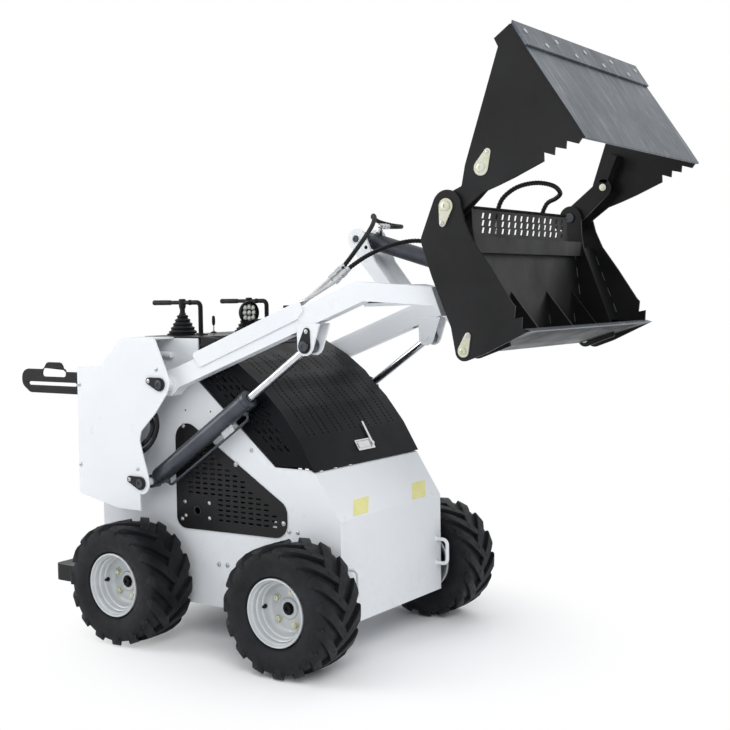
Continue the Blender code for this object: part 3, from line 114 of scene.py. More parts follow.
def pale_ray_switch(nodes, links, plain, pale):
    """Shader that shows the pale colour to the camera, mirrors and glass, and the plain one elsewhere."""
    rays = nodes.new("ShaderNodeLightPath")
    seen = nodes.new("ShaderNodeMath")
    seen.operation = "MAXIMUM"
    also = nodes.new("ShaderNodeMath")
    also.operation = "MAXIMUM"
    links.new(rays.outputs["Is Camera Ray"], seen.inputs[0])
    links.new(rays.outputs["Is Glossy Ray"], seen.inputs[1])
    links.new(seen.outputs[0], also.inputs[0])
    links.new(rays.outputs["Is Transmission Ray"], also.inputs[1])
    mix = nodes.new("ShaderNodeMixShader")
    links.new(also.outputs[0], mix.inputs[0])
    links.new(plain.outputs[0], mix.inputs[1])
    links.new(pale.outputs[0], mix.inputs[2])
    return mix


def light_world():
    world = bpy.data.worlds.new("studio")
    bpy.context.scene.world = world
    world.use_nodes = True
    nodes, links = world.node_tree.nodes, world.node_tree.links
    nodes.clear()
    plain = nodes.new("ShaderNodeBackground")
    plain.inputs["Color"].default_value = (0.93, 0.96, 1.0, 1.0)
    plain.inputs["Strength"].default_value = WORLD_LIGHT
    pale = nodes.new("ShaderNodeBackground")
    pale.inputs["Color"].default_value = BACKDROP
    mix = pale_ray_switch(nodes, links, plain, pale)
    out = nodes.new("ShaderNodeOutputWorld")
    links.new(mix.outputs[0], out.inputs["Surface"])


def floor_paint():
    """White floor that takes shadows near the machine and fades to the backdrop further out."""
    paint = bpy.data.materials.new("studio_floor")
    paint.use_nodes = True
    nodes, links = paint.node_tree.nodes, paint.node_tree.links
    nodes.clear()
    place = nodes.new("ShaderNodeTexCoord")
    away = nodes.new("ShaderNodeVectorMath")
    away.operation = "LENGTH"
    links.new(place.outputs["Object"], away.inputs[0])
    fade = nodes.new("ShaderNodeMapRange")
    fade.interpolation_type = "SMOOTHSTEP"
    fade.inputs["From Min"].default_value = FLOOR_FADE[0]
    fade.inputs["From Max"].default_value = FLOOR_FADE[1]
    links.new(away.outputs["Value"], fade.inputs["Value"])
    rays = nodes.new("ShaderNodeLightPath")
    share = nodes.new("ShaderNodeMath")
    share.operation = "MULTIPLY"
    links.new(fade.outputs["Result"], share.inputs[0])
    links.new(rays.outputs["Is Camera Ray"], share.inputs[1])
    matt = nodes.new("ShaderNodeBsdfDiffuse")
    matt.inputs["Color"].default_value = FLOOR_WHITE
    pale = nodes.new("ShaderNodeEmission")
    pale.inputs["Color"].default_value = BACKDROP
    mix = nodes.new("ShaderNodeMixShader")
    links.new(share.outputs[0], mix.inputs[0])
    links.new(matt.outputs[0], mix.inputs[1])
    links.new(pale.outputs[0], mix.inputs[2])
    out = nodes.new("ShaderNodeOutputMaterial")
    links.new(mix.outputs[0], out.inputs["Surface"])
    return paint


def add_floor():
    work = bmesh.new()
    bmesh.ops.create_grid(work, x_segments=1, y_segments=1, size=14.0)
    mesh = bpy.data.meshes.new("studio_floor")
    work.to_mesh(mesh)
    work.free()
    floor = bpy.data.objects.new("studio_floor", mesh)
    bpy.context.scene.collection.objects.link(floor)
    mesh.materials.append(floor_paint())


def set_stage():
    bpy.context.scene.view_settings.view_transform = "Standard"
    light_world()
    add_floor()
    add_lamp("key", (3.2, -3.4, 4.2), (0.1, 0.0, 0.8), (3.0, 3.0), 150.0, False)
    add_lamp("fill", (-3.4, -2.6, 2.6), (0.0, 0.0, 0.9), (2.5, 2.5), 60.0)
    add_lamp("back", (-0.5, 4.2, 3.6), (0.2, 0.0, 1.0), (3.0, 2.0), 60.0, False)


# Finishes, all on Object coordinates, which are the row frame on every finished piece
class Finish:
    """One procedural material, built up from small helpers."""

    def __init__(self, name, colour, roughness, metallic):
        self.material = bpy.data.materials.new(name)
        self.material.use_nodes = True
        tree = self.material.node_tree
        self.nodes = tree.nodes
        self.links = tree.links
        self.shader = tree.nodes["Principled BSDF"]
        self.shader.inputs["Base Color"].default_value = (*colour, 1.0)
        self.shader.inputs["Roughness"].default_value = roughness
        self.shader.inputs["Metallic"].default_value = metallic
        coordinates = self.nodes.new("ShaderNodeTexCoord")
        self.place = coordinates.outputs["Object"]
        self.coordinates = coordinates

    def stretched(self, scale):
        mapping = self.nodes.new("ShaderNodeMapping")
        mapping.inputs["Scale"].default_value = scale
        self.links.new(self.place, mapping.inputs["Vector"])
        return mapping.outputs["Vector"]

    def noise(self, scale, detail=3.0, roughness=0.55, vector=None, distortion=0.0):
        texture = self.nodes.new("ShaderNodeTexNoise")
        texture.inputs["Scale"].default_value = scale
        texture.inputs["Detail"].default_value = detail
        texture.inputs["Roughness"].default_value = roughness
        texture.inputs["Distortion"].default_value = distortion
        self.links.new(vector or self.place, texture.inputs["Vector"])
        return texture.outputs["Fac"]

    def spread(self, value, low, high, to_low=0.0, to_high=1.0):
        remap = self.nodes.new("ShaderNodeMapRange")
        remap.inputs["From Min"].default_value = low
        remap.inputs["From Max"].default_value = high
        remap.inputs["To Min"].default_value = to_low
        remap.inputs["To Max"].default_value = to_high
        self.links.new(value, remap.inputs["Value"])
        return remap.outputs["Result"]

    def times(self, one, two):
        product = self.nodes.new("ShaderNodeMath")
        product.operation = "MULTIPLY"
        self.links.new(one, product.inputs[0])
        if isinstance(two, float):
            product.inputs[1].default_value = two
        else:
            self.links.new(two, product.inputs[1])
        return product.outputs[0]

    def blend(self, share, one, two):
        """Colour that goes from one to two; each is a colour or another node's output."""
        mix = self.nodes.new("ShaderNodeMix")
        mix.data_type = "RGBA"
        self.links.new(share, mix.inputs["Factor"])
        for socket, colour in ((mix.inputs[6], one), (mix.inputs[7], two)):
            if isinstance(colour, tuple):
                socket.default_value = (*colour, 1.0)
            else:
                self.links.new(colour, socket)
        return mix.outputs[2]

    def height(self):
        """How high a point is above the ground, as a value."""
        parts = self.nodes.new("ShaderNodeSeparateXYZ")
        self.links.new(self.place, parts.inputs[0])
        return parts.outputs["Z"]

    def colour(self, output):
        self.links.new(output, self.shader.inputs["Base Color"])

    def rough(self, output):
        self.links.new(output, self.shader.inputs["Roughness"])

    def bump(self, output, distance, strength=1.0, under=None):
        relief = self.nodes.new("ShaderNodeBump")
        relief.inputs["Distance"].default_value = distance
        relief.inputs["Strength"].default_value = strength
        self.links.new(output, relief.inputs["Height"])
        if under is not None:
            self.links.new(under, relief.inputs["Normal"])
        self.links.new(relief.outputs["Normal"], self.shader.inputs["Normal"])
        return relief.outputs["Normal"]


def white_paint():
    finish = Finish("white_paint", (0.78, 0.80, 0.82), 0.34, 0.0)
    cloud = finish.noise(2.2, 4.0)
    film = finish.blend(finish.spread(cloud, 0.3, 0.7), (0.74, 0.765, 0.79), (0.80, 0.815, 0.83))
    low = finish.spread(finish.height(), 0.55, 0.12)
    speck = finish.spread(finish.noise(38.0, 6.0, 0.65), 0.52, 0.72)
    dust = finish.times(finish.times(low, speck), 0.22)
    finish.colour(finish.blend(dust, film, (0.50, 0.47, 0.42)))
    finish.rough(finish.spread(finish.noise(14.0, 4.0), 0.3, 0.7, 0.27, 0.42))
    finish.bump(finish.noise(520.0, 2.0), 0.00022, 0.35)
    return finish.material


def black_paint(name="black_paint", base=(0.0062, 0.0062, 0.0067), worn=(0.0128, 0.0127, 0.0136), shine=0.25):
    finish = Finish(name, base, 0.42, 0.0)
    finish.shader.inputs["Specular IOR Level"].default_value = shine
    cloud = finish.spread(finish.noise(5.0, 5.0, 0.6), 0.35, 0.72)
    powder = finish.blend(cloud, base, worn)
    haze = finish.spread(finish.noise(60.0, 5.0, 0.7), 0.60, 0.85, 0.0, 0.2)
    finish.colour(finish.blend(haze, powder, (0.026, 0.0255, 0.025)))
    finish.rough(finish.spread(finish.noise(9.0, 5.0, 0.6), 0.3, 0.7, 0.30, 0.48))
    finish.bump(finish.noise(700.0, 2.0), 0.00020, 0.45)
    return finish.material


def worn_steel():
    """Blue-grey mill scale with long pale scuffs and fine scratches."""
    finish = Finish("worn_steel", (0.16, 0.19, 0.22), 0.42, 0.55)
    cloud = finish.spread(finish.noise(4.5, 6.0, 0.6), 0.32, 0.7)
    plate = finish.blend(cloud, (0.060, 0.072, 0.086), (0.135, 0.155, 0.175))
    long_way = finish.stretched((1.5, 14.0, 1.5))
    scuff = finish.spread(finish.noise(3.0, 8.0, 0.7, long_way, 0.6), 0.54, 0.72)
    finish.colour(finish.blend(finish.times(scuff, 0.75), plate, (0.33, 0.36, 0.39)))
    scratch = finish.noise(60.0, 6.0, 0.75, finish.stretched((0.35, 6.0, 0.35)))
    finish.rough(finish.spread(scratch, 0.3, 0.7, 0.30, 0.58))
    finish.bump(scratch, 0.0004, 0.35)
    return finish.material


def cylinder_grey():
    finish = Finish("cylinder_grey", (0.060, 0.066, 0.078), 0.30, 0.55)
    cloud = finish.spread(finish.noise(9.0, 4.0), 0.35, 0.7)
    finish.colour(finish.blend(cloud, (0.044, 0.049, 0.060), (0.075, 0.082, 0.095)))
    finish.rough(finish.spread(finish.noise(25.0, 4.0), 0.3, 0.7, 0.24, 0.38))
    finish.bump(finish.noise(420.0, 2.0), 0.0002, 0.3)
    return finish.material


def chrome():
    finish = Finish("chrome", (0.70, 0.71, 0.73), 0.13, 1.0)
    film = finish.spread(finish.noise(30.0, 5.0, 0.6), 0.4, 0.8)
    finish.colour(finish.blend(film, (0.70, 0.71, 0.73), (0.56, 0.57, 0.59)))
    finish.rough(finish.spread(finish.noise(120.0, 4.0, 0.7), 0.3, 0.7, 0.08, 0.2))
    finish.bump(finish.noise(900.0, 2.0), 0.00005, 0.2)
    return finish.material


def zinc():
    """Yellow passivated zinc, cloudy from gold to grey-green."""
    finish = Finish("zinc", (0.62, 0.58, 0.42), 0.32, 0.9)
    cloud = finish.spread(finish.noise(55.0, 4.0, 0.6), 0.35, 0.7)
    finish.colour(finish.blend(cloud, (0.62, 0.60, 0.42), (0.66, 0.68, 0.63)))
    finish.rough(finish.spread(finish.noise(160.0, 4.0), 0.3, 0.7, 0.24, 0.44))
    finish.bump(finish.noise(600.0, 3.0), 0.0001, 0.3)
    return finish.material


def bright_steel():
    finish = Finish("bright_steel", (0.55, 0.56, 0.57), 0.3, 0.95)
    cloud = finish.spread(finish.noise(80.0, 4.0, 0.6), 0.35, 0.7)
    finish.colour(finish.blend(cloud, (0.50, 0.51, 0.52), (0.66, 0.67, 0.67)))
    finish.rough(finish.spread(finish.noise(200.0, 4.0), 0.3, 0.7, 0.2, 0.4))
    finish.bump(finish.noise(700.0, 3.0), 0.0001, 0.3)
    return finish.material


def rim_silver():
    finish = Finish("rim_silver", (0.53, 0.55, 0.56), 0.36, 0.15)
    cloud = finish.spread(finish.noise(12.0, 5.0), 0.35, 0.7)
    paint = finish.blend(cloud, (0.50, 0.525, 0.54), (0.60, 0.62, 0.625))
    speck = finish.spread(finish.noise(85.0, 6.0, 0.7), 0.60, 0.78, 0.0, 0.6)
    finish.colour(finish.blend(speck, paint, (0.34, 0.31, 0.26)))
    finish.rough(finish.spread(finish.noise(30.0, 4.0), 0.3, 0.7, 0.28, 0.46))
    finish.bump(finish.noise(500.0, 3.0), 0.00025, 0.35)
    return finish.material


def tyre_rubber():
    finish = Finish("tyre_rubber", (0.028, 0.028, 0.030), 0.72, 0.0)
    cloud = finish.spread(finish.noise(11.0, 6.0, 0.65), 0.36, 0.7)
    finish.shader.inputs["Specular IOR Level"].default_value = 0.22
    rubber_mix = finish.blend(cloud, (0.0052, 0.0057, 0.0070), (0.0135, 0.0145, 0.0172))
    dust = finish.spread(finish.noise(55.0, 7.0, 0.7), 0.60, 0.85, 0.0, 0.4)
    finish.colour(finish.blend(dust, rubber_mix, (0.038, 0.037, 0.036)))
    finish.rough(finish.spread(finish.noise(40.0, 5.0), 0.3, 0.7, 0.42, 0.66))
    finish.bump(finish.noise(320.0, 5.0, 0.65), 0.0006, 0.45)
    return finish.material


def hose_rubber():
    finish = Finish("hose_rubber", (0.014, 0.014, 0.015), 0.5, 0.0)
    cloud = finish.spread(finish.noise(30.0, 4.0), 0.35, 0.7)
    finish.shader.inputs["Specular IOR Level"].default_value = 0.22
    finish.colour(finish.blend(cloud, (0.0046, 0.0050, 0.0062), (0.0120, 0.0126, 0.0150)))
    finish.rough(finish.spread(finish.noise(60.0, 4.0), 0.3, 0.7, 0.38, 0.6))
    finish.bump(finish.noise(800.0, 3.0), 0.0002, 0.4)
    return finish.material


def engine_iron():
    finish = Finish("engine_iron", (0.05, 0.05, 0.052), 0.6, 0.3)
    cloud = finish.spread(finish.noise(18.0, 5.0), 0.35, 0.7)
    finish.colour(finish.blend(cloud, (0.03, 0.03, 0.032), (0.08, 0.078, 0.074)))
    finish.rough(finish.spread(finish.noise(50.0, 4.0), 0.3, 0.7, 0.45, 0.75))
    finish.bump(finish.noise(260.0, 4.0), 0.0005, 0.4)
    return finish.material


def lens():
    """Domed yellowish lamp cell under clear resin."""
    finish = Finish("lens", (0.62, 0.63, 0.60), 0.12, 0.0)
    finish.shader.inputs["Coat Weight"].default_value = 0.8
    cell = finish.spread(finish.noise(260.0, 2.0), 0.4, 0.65)
    finish.colour(finish.blend(cell, (0.50, 0.52, 0.50), (0.80, 0.78, 0.62)))
    finish.rough(finish.spread(finish.noise(300.0, 2.0), 0.3, 0.7, 0.08, 0.2))
    finish.bump(finish.noise(500.0, 2.0), 0.0001, 0.3)
    return finish.material


def pale_plate():
    """Blank pale yellow film."""
    finish = Finish("pale_plate", (0.72, 0.66, 0.36), 0.35, 0.0)
    cloud = finish.spread(finish.noise(12.0, 4.0), 0.35, 0.7)
    finish.colour(finish.blend(cloud, (0.74, 0.70, 0.26), (0.82, 0.78, 0.36)))
    finish.rough(finish.spread(finish.noise(40.0, 4.0), 0.3, 0.7, 0.28, 0.42))
    finish.bump(finish.noise(300.0, 2.0), 0.0001, 0.3)
    return finish.material


FINISHES = {
    "white_paint": white_paint(),
    "black_paint": black_paint(),
    "worn_steel": worn_steel(),
    "cylinder_grey": cylinder_grey(),
    "chrome": chrome(),
    "zinc": zinc(),
    "bright_steel": bright_steel(),
    "rim_silver": rim_silver(),
    "tyre_rubber": tyre_rubber(),
    "rubber": hose_rubber(),
    "engine_iron": engine_iron(),
    "lamp_black": black_paint("lamp_black", (0.004, 0.004, 0.0044), (0.008, 0.008, 0.0088), 0.16),
    # The hood's copy of the black paint: its darker base is painted shade, and its blue tint is a painted
    # bluish reflection
    "hood_black_shade_and_sheen": black_paint("hood_black_shade_and_sheen", (0.0022, 0.0026, 0.0038), (0.0048, 0.0055, 0.0078), 0.11),
    "lens": lens(),
    "pale_plate": pale_plate(),
}


# Shapes, drawn with the machine's own X, which the row frame has 0.235 further back
ROW_SHIFT = Vector((-0.235, 0.0, 0.0))
TO_ROW = Matrix.Translation(ROW_SHIFT)
PLANES = {
    "XZ": Matrix(((1, 0, 0, 0), (0, 0, 1, 0), (0, 1, 0, 0), (0, 0, 0, 1))),
    "YZ": Matrix(((0, 0, 1, 0), (1, 0, 0, 0), (0, 1, 0, 0), (0, 0, 0, 1))),
}
SHARP = 50.0


def linked(name, data):
    item = bpy.data.objects.new(name, data)
    bpy.context.scene.collection.objects.link(item)
    return item


def flattened(item):
    """Mesh of an object with its modifiers and its own place applied; the object is removed."""
    bpy.context.view_layer.update()
    graph = bpy.context.evaluated_depsgraph_get()
    mesh = bpy.data.meshes.new_from_object(item.evaluated_get(graph))
    mesh.transform(item.matrix_world)
    bpy.data.objects.remove(item)
    return mesh


def tidied(mesh, merge=0.00001):
    work = bmesh.new()
    work.from_mesh(mesh)
    bmesh.ops.remove_doubles(work, verts=work.verts, dist=merge)
    bmesh.ops.recalc_face_normals(work, faces=work.faces)
    work.to_mesh(mesh)
    work.free()
    return mesh


def moved(mesh, matrix):
    mesh.transform(matrix)
    if matrix.determinant() < 0:
        mesh.flip_normals()
    return mesh


def merged(meshes):
    """One mesh from several; the first ones are used up."""
    work = bmesh.new()
    for mesh in meshes:
        work.from_mesh(mesh)
        bpy.data.meshes.remove(mesh)
    whole = bpy.data.meshes.new("merged")
    work.to_mesh(whole)
    work.free()
    return whole


def arc(centre, radius, start, end, step=10.0):
    count = max(1, round(abs(end - start) / step))
    turns = [math.radians(start + (end - start) * i / count) for i in range(count + 1)]
    return [(centre[0] + radius * math.cos(t), centre[1] + radius * math.sin(t)) for t in turns]


def rounded(corners, step=12.0):
    """Outline from corners given as (x, y) or (x, y, fillet radius)."""
    points = []
    for i, corner in enumerate(corners):
        radius = corner[2] if len(corner) > 2 else 0.0
        here = corner[:2]
        if radius <= 0.0:
            points.append(here)
            continue
        back = corners[i - 1][:2]
        ahead = corners[(i + 1) % len(corners)][:2]
        one = math.atan2(back[1] - here[1], back[0] - here[0])
        two = math.atan2(ahead[1] - here[1], ahead[0] - here[0])
        half = ((two - one + math.pi) % (2 * math.pi) - math.pi) / 2
        reach = radius / abs(math.sin(half))
        middle = one + half
        centre = (here[0] + reach * math.cos(middle), here[1] + reach * math.sin(middle))
        side = 1 if half > 0 else -1
        start = math.degrees(one) - side * 90.0
        sweep = side * (math.degrees(abs(half)) * 2 - 180.0)
        points += arc(centre, radius, start, start - abs(sweep) * side, step)
    return points


def slot_outline(centre, length, width, angle=0.0, step=30.0):
    reach = (length - width) / 2
    turn = math.radians(angle)
    shift = (reach * math.cos(turn), reach * math.sin(turn))
    ahead = (centre[0] + shift[0], centre[1] + shift[1])
    back = (centre[0] - shift[0], centre[1] - shift[1])
    return (arc(ahead, width / 2, angle - 90, angle + 90, step)
            + arc(back, width / 2, angle + 90, angle + 270, step))


def teardrop(centre, tail, big, small):
    way = math.degrees(math.atan2(tail[1] - centre[1], tail[0] - centre[0]))
    length = math.hypot(tail[0] - centre[0], tail[1] - centre[1])
    lean = math.degrees(math.acos((big - small) / length))
    return (arc(centre, big, way + lean, way + 360 - lean)
            + arc(tail, small, way - lean, way + lean))


def slab(outline, low, high, holes=(), plane="XZ", edge=0.0):
    """Flat piece from low to high across its plane, with holes and rounded edges."""
    curve = bpy.data.curves.new("outline", "CURVE")
    curve.dimensions = "2D"
    curve.fill_mode = "BOTH"
    curve.extrude = (high - low) / 2 - edge
    curve.bevel_depth = edge
    curve.bevel_resolution = 1
    curve.offset = -edge
    for loop in (outline, *holes):
        spline = curve.splines.new("POLY")
        spline.points.add(len(loop) - 1)
        for point, place in zip(spline.points, loop):
            point.co = (place[0], place[1], 0, 1)
        spline.use_cyclic_u = True
    mesh = flattened(linked("outline", curve))
    mesh.transform(PLANES[plane] @ Matrix.Translation((0, 0, (low + high) / 2)))
    return tidied(mesh)


def turned(profile, start, direction, segments=48, closed=False):
    """Revolve (radius, distance) points about the line from start along direction."""
    points, rings, faces = [], [], []
    for radius, distance in profile:
        if radius < 0.00001:
            rings.append([len(points)] * segments)
            points.append((0.0, 0.0, distance))
            continue
        rings.append(list(range(len(points), len(points) + segments)))
        for k in range(segments):
            turn = 2 * math.pi * k / segments
            points.append((radius * math.cos(turn), radius * math.sin(turn), distance))
    pairs = list(zip(rings, rings[1:]))
    if closed:
        pairs.append((rings[-1], rings[0]))
    for one, two in pairs:
        for k in range(segments):
            after = (k + 1) % segments
            corners = list(dict.fromkeys((one[k], one[after], two[after], two[k])))
            if len(corners) > 2:
                faces.append(corners)
    mesh = bpy.data.meshes.new("turned")
    mesh.from_pydata(points, [], faces)
    spin = Vector((0, 0, 1)).rotation_difference(Vector(direction).normalized()).to_matrix().to_4x4()
    mesh.transform(Matrix.Translation(start) @ spin)
    return tidied(mesh)


def round_bar(start, end, radius, segments=24, edge=0.0006):
    """Solid round bar with softened ends."""
    way = Vector(end) - Vector(start)
    length = way.length
    profile = [(0.0, 0.0), (radius - edge, 0.0), (radius, edge), (radius, length - edge),
               (radius - edge, length), (0.0, length)]
    return turned(profile, start, way, segments)


def cross_pin(centre, low, high, radius, segments=32):
    return round_bar((centre[0], low, centre[1]), (centre[0], high, centre[1]), radius, segments)


def bent(points, radius, step=12.0):
    """Path in space with each inner corner replaced by an arc of the given radius."""
    points = [Vector(p) for p in points]
    path = [points[0]]
    for back, here, ahead in zip(points, points[1:], points[2:]):
        one, two = back - here, ahead - here
        angle = one.angle(two)
        cut = min(radius / math.tan(angle / 2), 0.45 * one.length, 0.45 * two.length)
        fillet = cut * math.tan(angle / 2)
        one.normalize()
        two.normalize()
        centre = here + (one + two).normalized() * (fillet / math.sin(angle / 2))
        start, end = here + cut * one - centre, here + cut * two - centre
        sweep = math.pi - angle
        count = max(1, round(math.degrees(sweep) / step))
        for i in range(count + 1):
            part = i / count
            a = math.sin((1 - part) * sweep) / math.sin(sweep)
            b = math.sin(part * sweep) / math.sin(sweep)
            path.append(centre + a * start + b * end)
    path.append(points[-1])
    return path


def swept(path, radii, sides=16):
    """Tube along a path; radii holds one radius for each point, or for each point's every side."""
    path = [Vector(p) for p in path]
    ways = [(b - a).normalized() for a, b in zip(path, path[1:])]
    ways = [ways[0]] + [(a + b).normalized() for a, b in zip(ways, ways[1:])] + [ways[-1]]
    across = ways[0].orthogonal().normalized()
    points, faces = [], []
    for i, (place, way) in enumerate(zip(path, ways)):
        if i:
            across = (ways[i - 1].rotation_difference(way) @ across).normalized()
        other = way.cross(across)
        for k in range(sides):
            radius = radii[i][k] if isinstance(radii[i], list) else radii[i]
            turn = 2 * math.pi * k / sides
            points.append(place + (across * math.cos(turn) + other * math.sin(turn)) * radius)
    for i in range(len(path) - 1):
        for k in range(sides):
            after = (k + 1) % sides
            base = i * sides
            faces.append((base + k, base + after, base + sides + after, base + sides + k))
    faces.append(tuple(range(sides))[::-1])
    last = (len(path) - 1) * sides
    faces.append(tuple(range(last, last + sides)))
    mesh = bpy.data.meshes.new("swept")
    mesh.from_pydata(points, [], faces)
    return tidied(mesh, 0.000001)


def pipe(points, radius, bend=0.02, sides=16):
    path = bent(points, bend)
    return swept(path, [radius] * len(path), sides)


def both_sides(make):
    """Meshes of a piece drawn on the left, and its mirror image on the right, by side name."""
    flip = Matrix.Diagonal((1, -1, 1, 1))
    return {"left": make(), "right": moved(make(), flip)}


def carved(mesh, cutters):
    """The mesh with the cutters' shapes taken out."""
    base = linked("base", mesh)
    tool = linked("tool", merged(cutters))
    change = base.modifiers.new("carve", "BOOLEAN")
    change.operation = "DIFFERENCE"
    change.solver = "EXACT"
    change.object = tool
    result = flattened(base)
    bpy.data.objects.remove(tool)
    return result


def settle(item, body, replaced=()):
    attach(item, body)
    if replaced:
        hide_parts(*replaced)
    return item


def weighted(mesh, sharp):
    """The mesh shaded smooth up to an angle, with large flat faces kept flat."""
    mesh.shade_smooth()
    mesh.set_sharp_from_angle(angle=math.radians(sharp))
    item = linked("weighted", mesh)
    change = item.modifiers.new("weighted", "WEIGHTED_NORMAL")
    change.keep_sharp = True
    change.weight = 80
    return flattened(item)


def finished(name, mesh, body, finish, replaced=(), sharp=SHARP):
    """Put a mesh drawn in the machine's own X in the scene as one piece of its body."""
    mesh.materials.clear()
    mesh.materials.append(FINISHES[finish])
    mesh.transform(TO_ROW)
    mesh = weighted(mesh, sharp)
    mesh.name = name
    return settle(linked(name, mesh), body, replaced)


EDGE_ANGLE = math.radians(28.0)


def softened(mesh, edge, steps=2):
    item = linked("softened", mesh)
    bevel = item.modifiers.new("rounded", "BEVEL")
    bevel.width = edge
    bevel.segments = steps
    bevel.limit_method = "ANGLE"
    bevel.angle_limit = EDGE_ANGLE
    bevel.use_clamp_overlap = False
    return flattened(item)


# The tub's own edges meet at slivers, which a bevel would turn into bumps
PLAIN_EDGED = ("body_tub",)
PLAIN_SHARP = 20.0


def dressed(node, edge=0.0008, steps=2):
    """The node's own solid with its doubles merged and its edges rounded, in place of the node."""
    mesh = NODES[node].data.copy()
    mesh.materials.clear()
    mesh = tidied(mesh)
    if node not in PLAIN_EDGED:
        mesh = softened(mesh, edge, steps)
    mesh.materials.clear()
    mesh.materials.append(FINISHES[SLOT_OF[node]])
    mesh = weighted(mesh, PLAIN_SHARP if node in PLAIN_EDGED else SHARP)
    mesh.name = node + "_finish"
    return settle(linked(node + "_finish", mesh), BODY_OF[node], (node,))


# Small fasteners are gathered by body and finish, and each lot becomes one piece
GATHERED = {}


def gather(body, finish, *meshes):
    GATHERED.setdefault((body, finish), []).extend(meshes)


def button_head(at, way, radius):
    high = radius * 0.62
    profile = [(radius * 1.25, 0.0), (radius * 1.25, 0.0012), (radius, 0.0014), (radius * 0.97, high * 0.5),
               (radius * 0.80, high * 0.85), (radius * 0.52, high), (radius * 0.44, high),
               (radius * 0.42, high * 0.45), (0.0, high * 0.40)]
    return turned(profile, at, way, 24)


def hex_head(at, way, radius, high, socket=0.0):
    """Hexagonal head on a washer, with its round chamfer; a socket sinks a hole in it."""
    washer = turned([(0.0, 0.0), (radius * 1.3, 0.0), (radius * 1.3, 0.0014), (0.0, 0.0014)], at, way, 32)
    profile = [(radius, 0.001), (radius, high - radius * 0.10), (radius * 0.90, high)]
    if socket:
        profile += [(socket, high), (socket, high * 0.5), (0.0, high * 0.5)]
    else:
        profile += [(0.0, high)]
    return merged([washer, turned(profile, at, way, 6)])


# The machine's own places, as its drawing has them
WHEELBASE = 0.761
TYRE_RADIUS = 0.2265
BODY_HALF = 0.332
TRACK_HALF = 0.4695
ARM_Y = 0.389
ARM_FACE = 0.414
TOWER_FACE = 0.460
CONSOLE_TOP = 1.137
BOOM_PIVOT = (-0.216, 0.967)
LIFT_BASE = (-0.325, 0.596)
ROD_PIN = (0.420, 1.113)
TILT_BASE = (0.395, 1.484)
TILT_PIN = (0.985, 1.310)
CLAM_PIVOT = (1.016, 1.549)
CLAM_BASE = (1.072, 1.110)
CLAM_ROD_PIN = (0.964, 1.530)
CLAM_ARM_PIN = (1.138, 1.652)
CLAM_KEEPER = (1.130, 1.658)
SIDE_FACE = 0.485
CLAM_CYLINDER_Y = 0.441


# Wheels
CARCASS = [(0.1175, 0.083), (0.1225, 0.0885), (0.1270, 0.0960), (0.1310, 0.0968), (0.1350, 0.0978),
           (0.1500, 0.1025), (0.1650, 0.1050), (0.1800, 0.1052), (0.1930, 0.1035), (0.2020, 0.1005),
           (0.2070, 0.0945), (0.2095, 0.0860), (0.2108, 0.0760), (0.2115, 0.0400), (0.2115, 0.0)]
# Each station of a lug: distance out from the tyre's middle, radius, half width, depth of its root
LUG = [(0.1040, 0.1840, 0.0095, 0.008), (0.1058, 0.1900, 0.0120, 0.010), (0.1060, 0.2030, 0.0130, 0.012),
       (0.1052, 0.2095, 0.0135, 0.014), (0.1045, 0.2125, 0.0215, 0.015), (0.0990, 0.2195, 0.0225, 0.017),
       (0.0905, 0.2240, 0.0235, 0.018), (0.0700, 0.2260, 0.0235, 0.019), (0.0400, 0.2265, 0.0230, 0.019),
       (0.0100, 0.2265, 0.0225, 0.019), (-0.0080, 0.2263, 0.0205, 0.019), (-0.0195, 0.2258, 0.0110, 0.019)]
LUG_COUNT = 15
LUG_SLANT = 1.0
LUG_FLARE = 0.004
LUG_EDGE = 0.0016


def lug_mesh(turn, sign):
    """Slanted tread bar that leads towards the tyre's middle."""
    points, faces = [], []
    shoulder = LUG[0][0]
    for out, radius, half, depth in LUG:
        lead = LUG_SLANT * (shoulder - out)
        inward = 0.008 if out > 0.098 else 0.0
        for shift, low in ((-half - LUG_FLARE, True), (-half, False), (half, False),
                           (half + LUG_FLARE, True)):
            reach = radius - depth if low else radius
            angle = turn - (lead + shift) / TYRE_RADIUS
            y = out - inward if low else out
            points.append((reach * math.cos(angle), sign * y, reach * math.sin(angle)))
    for i in range(len(LUG) - 1):
        for k in range(3):
            a = 4 * i + k
            faces.append((a, a + 1, a + 5, a + 4))
        faces.append((4 * i + 3, 4 * i, 4 * i + 4, 4 * i + 7))
    faces.append((0, 1, 2, 3))
    last = 4 * (len(LUG) - 1)
    faces.append((last, last + 1, last + 2, last + 3))
    mesh = bpy.data.meshes.new("lug")
    mesh.from_pydata(points, [], faces)
    return tidied(mesh)


def tyre_mesh():
    """Tyre about the Y axis, the same for every wheel."""
    outer = CARCASS + [(r, -d) for r, d in CARCASS[-2::-1]]
    inner = [(0.136, -0.078), (0.165, -0.090), (0.190, -0.070), (0.190, 0.070), (0.165, 0.090),
             (0.136, 0.078)]
    shell = turned(outer + inner, (0, 0, 0), (0, 1, 0), 96, closed=True)
    pitch = 2 * math.pi / LUG_COUNT
    lugs = []
    for sign, start in ((1, 0.0), (-1, 0.5)):
        lugs += [lug_mesh((i + start) * pitch, sign) for i in range(LUG_COUNT)]
    return merged([shell, softened(merged(lugs), LUG_EDGE, 2)])


